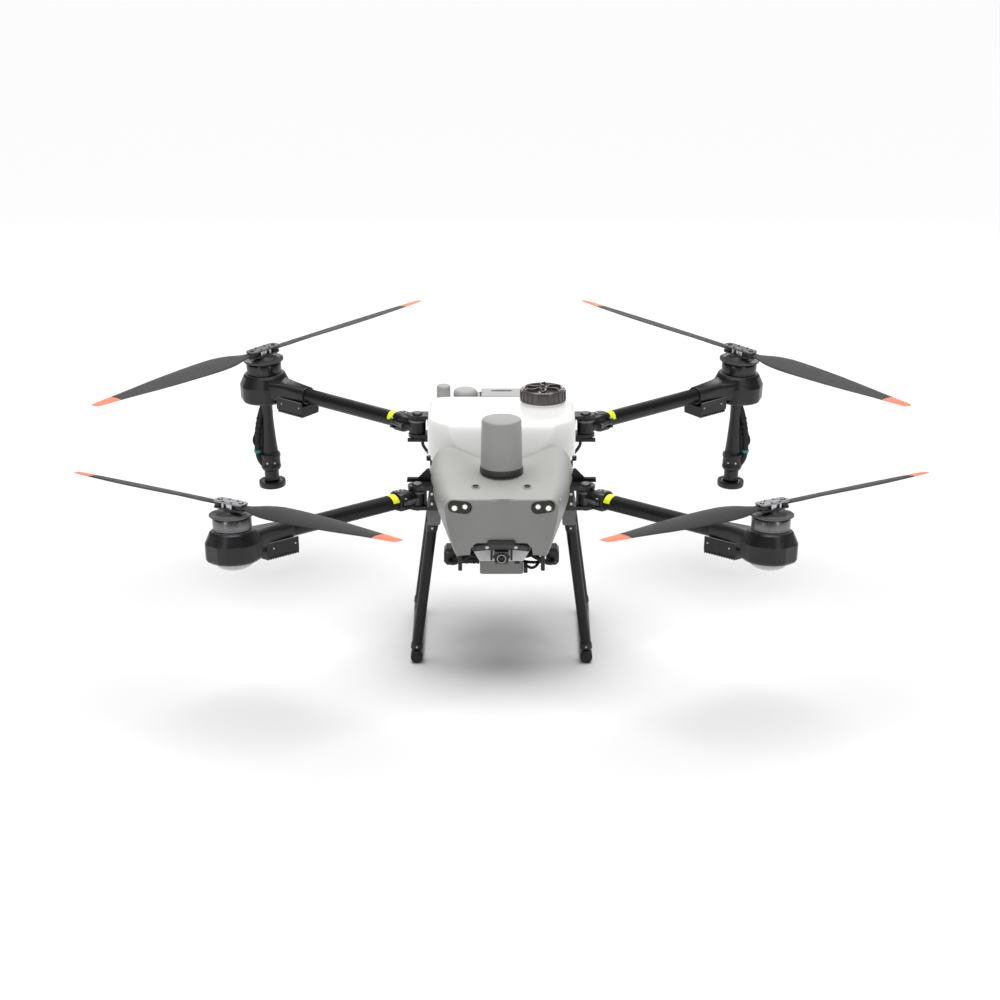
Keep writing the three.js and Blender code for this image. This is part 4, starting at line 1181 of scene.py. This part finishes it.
def build_arms():
    """All four arms, with their motors, rotors, blades and, at the rear, spray heads."""
    for end in ENDS:
        for side in SIDES:
            arm, motor, rotor, length = arm_places(end, side)
            build_arm(end, side, arm, length)
            build_motor(end, side, motor)
            build_rotor(end, side, rotor)
            for which in ("outer", "inner"):
                build_blade(which, end, side, rotor)
            if end == "rear":
                build_spray(side, motor)


# ---- studio and camera ----
FLOOR_REACH = 60.0
FLOOR_DROP = 0.0005  # keeps the floor just below the skids


def area_light(name, place, aim, size, power):
    """A rectangular light aimed at a point."""
    data = bpy.data.lights.new(name, "AREA")
    data.shape = "RECTANGLE"
    data.size, data.size_y = size
    data.energy = power
    light = new_object(name, data)
    light.location = place
    light.rotation_euler = (Vector(aim) - Vector(place)).to_track_quat("-Z", "Y").to_euler()


def build_studio():
    """A pale floor, a wide soft light overhead and three weak strips."""
    mesh = bpy.data.meshes.new("floor")
    reach = FLOOR_REACH
    mesh.from_pydata([(-reach, -reach, 0), (reach, -reach, 0), (reach, reach, 0), (-reach, reach, 0)], [],
                     [(0, 1, 2, 3)])
    floor = new_object("floor", mesh)
    floor.location.z = -FLOOR_DROP
    material, _, shader, _ = new_material("pale_floor")
    put(shader, {"Base Color": (0.82, 0.82, 0.82, 1), "Roughness": 0.9})
    mesh.materials.append(material)
    world = bpy.data.worlds.new("studio")
    bpy.context.scene.world = world
    world.use_nodes = True
    put(world.node_tree.nodes["Background"], {"Color": (1, 1, 1, 1), "Strength": 0.16})
    overhead = bpy.data.lights.new("overhead", "SUN")
    overhead.energy = 3.3
    overhead.angle = math.radians(55)
    new_object("overhead", overhead).rotation_euler = (math.radians(-4), 0, 0)
    area_light("front_left_strip", (-3.2, -4.0, 2.2), (0, 0, 0.45), (0.22, 2.6), 24)
    area_light("front_right_strip", (3.2, -4.0, 2.2), (0, 0, 0.45), (0.22, 2.6), 24)
    area_light("rear_strip", (0, 4.5, 2.2), (0, 0, 0.5), (4.0, 0.5), 30)


CAMERA_ELEVATION = math.radians(17.53)
CAMERA_DISTANCE = 9.834
CAMERA_AIM = Vector((0, 0, 0.4094))
CAMERA_LENS = 126.1


def build_camera_view():
    """The camera at the view's own angle and distance."""
    data = bpy.data.cameras.new("camera")
    data.lens = CAMERA_LENS
    data.sensor_width = 36
    data.shift_x = -0.0015
    data.clip_end = 200
    camera = new_object("camera", data)
    away = Vector((0, -math.cos(CAMERA_ELEVATION), math.sin(CAMERA_ELEVATION)))
    camera.location = CAMERA_AIM + away * CAMERA_DISTANCE
    camera.rotation_euler = (-away).to_track_quat("-Z", "Y").to_euler()
    bpy.context.scene.camera = camera
    bpy.context.scene.view_settings.view_transform = "Standard"


build_camera_view()
build_studio()
build_nose()
build_windows()
build_radar()
build_tank()
build_lid()
build_chin()
build_camera()
build_belly()
build_frame()
build_rear()
build_legs()
build_arms()
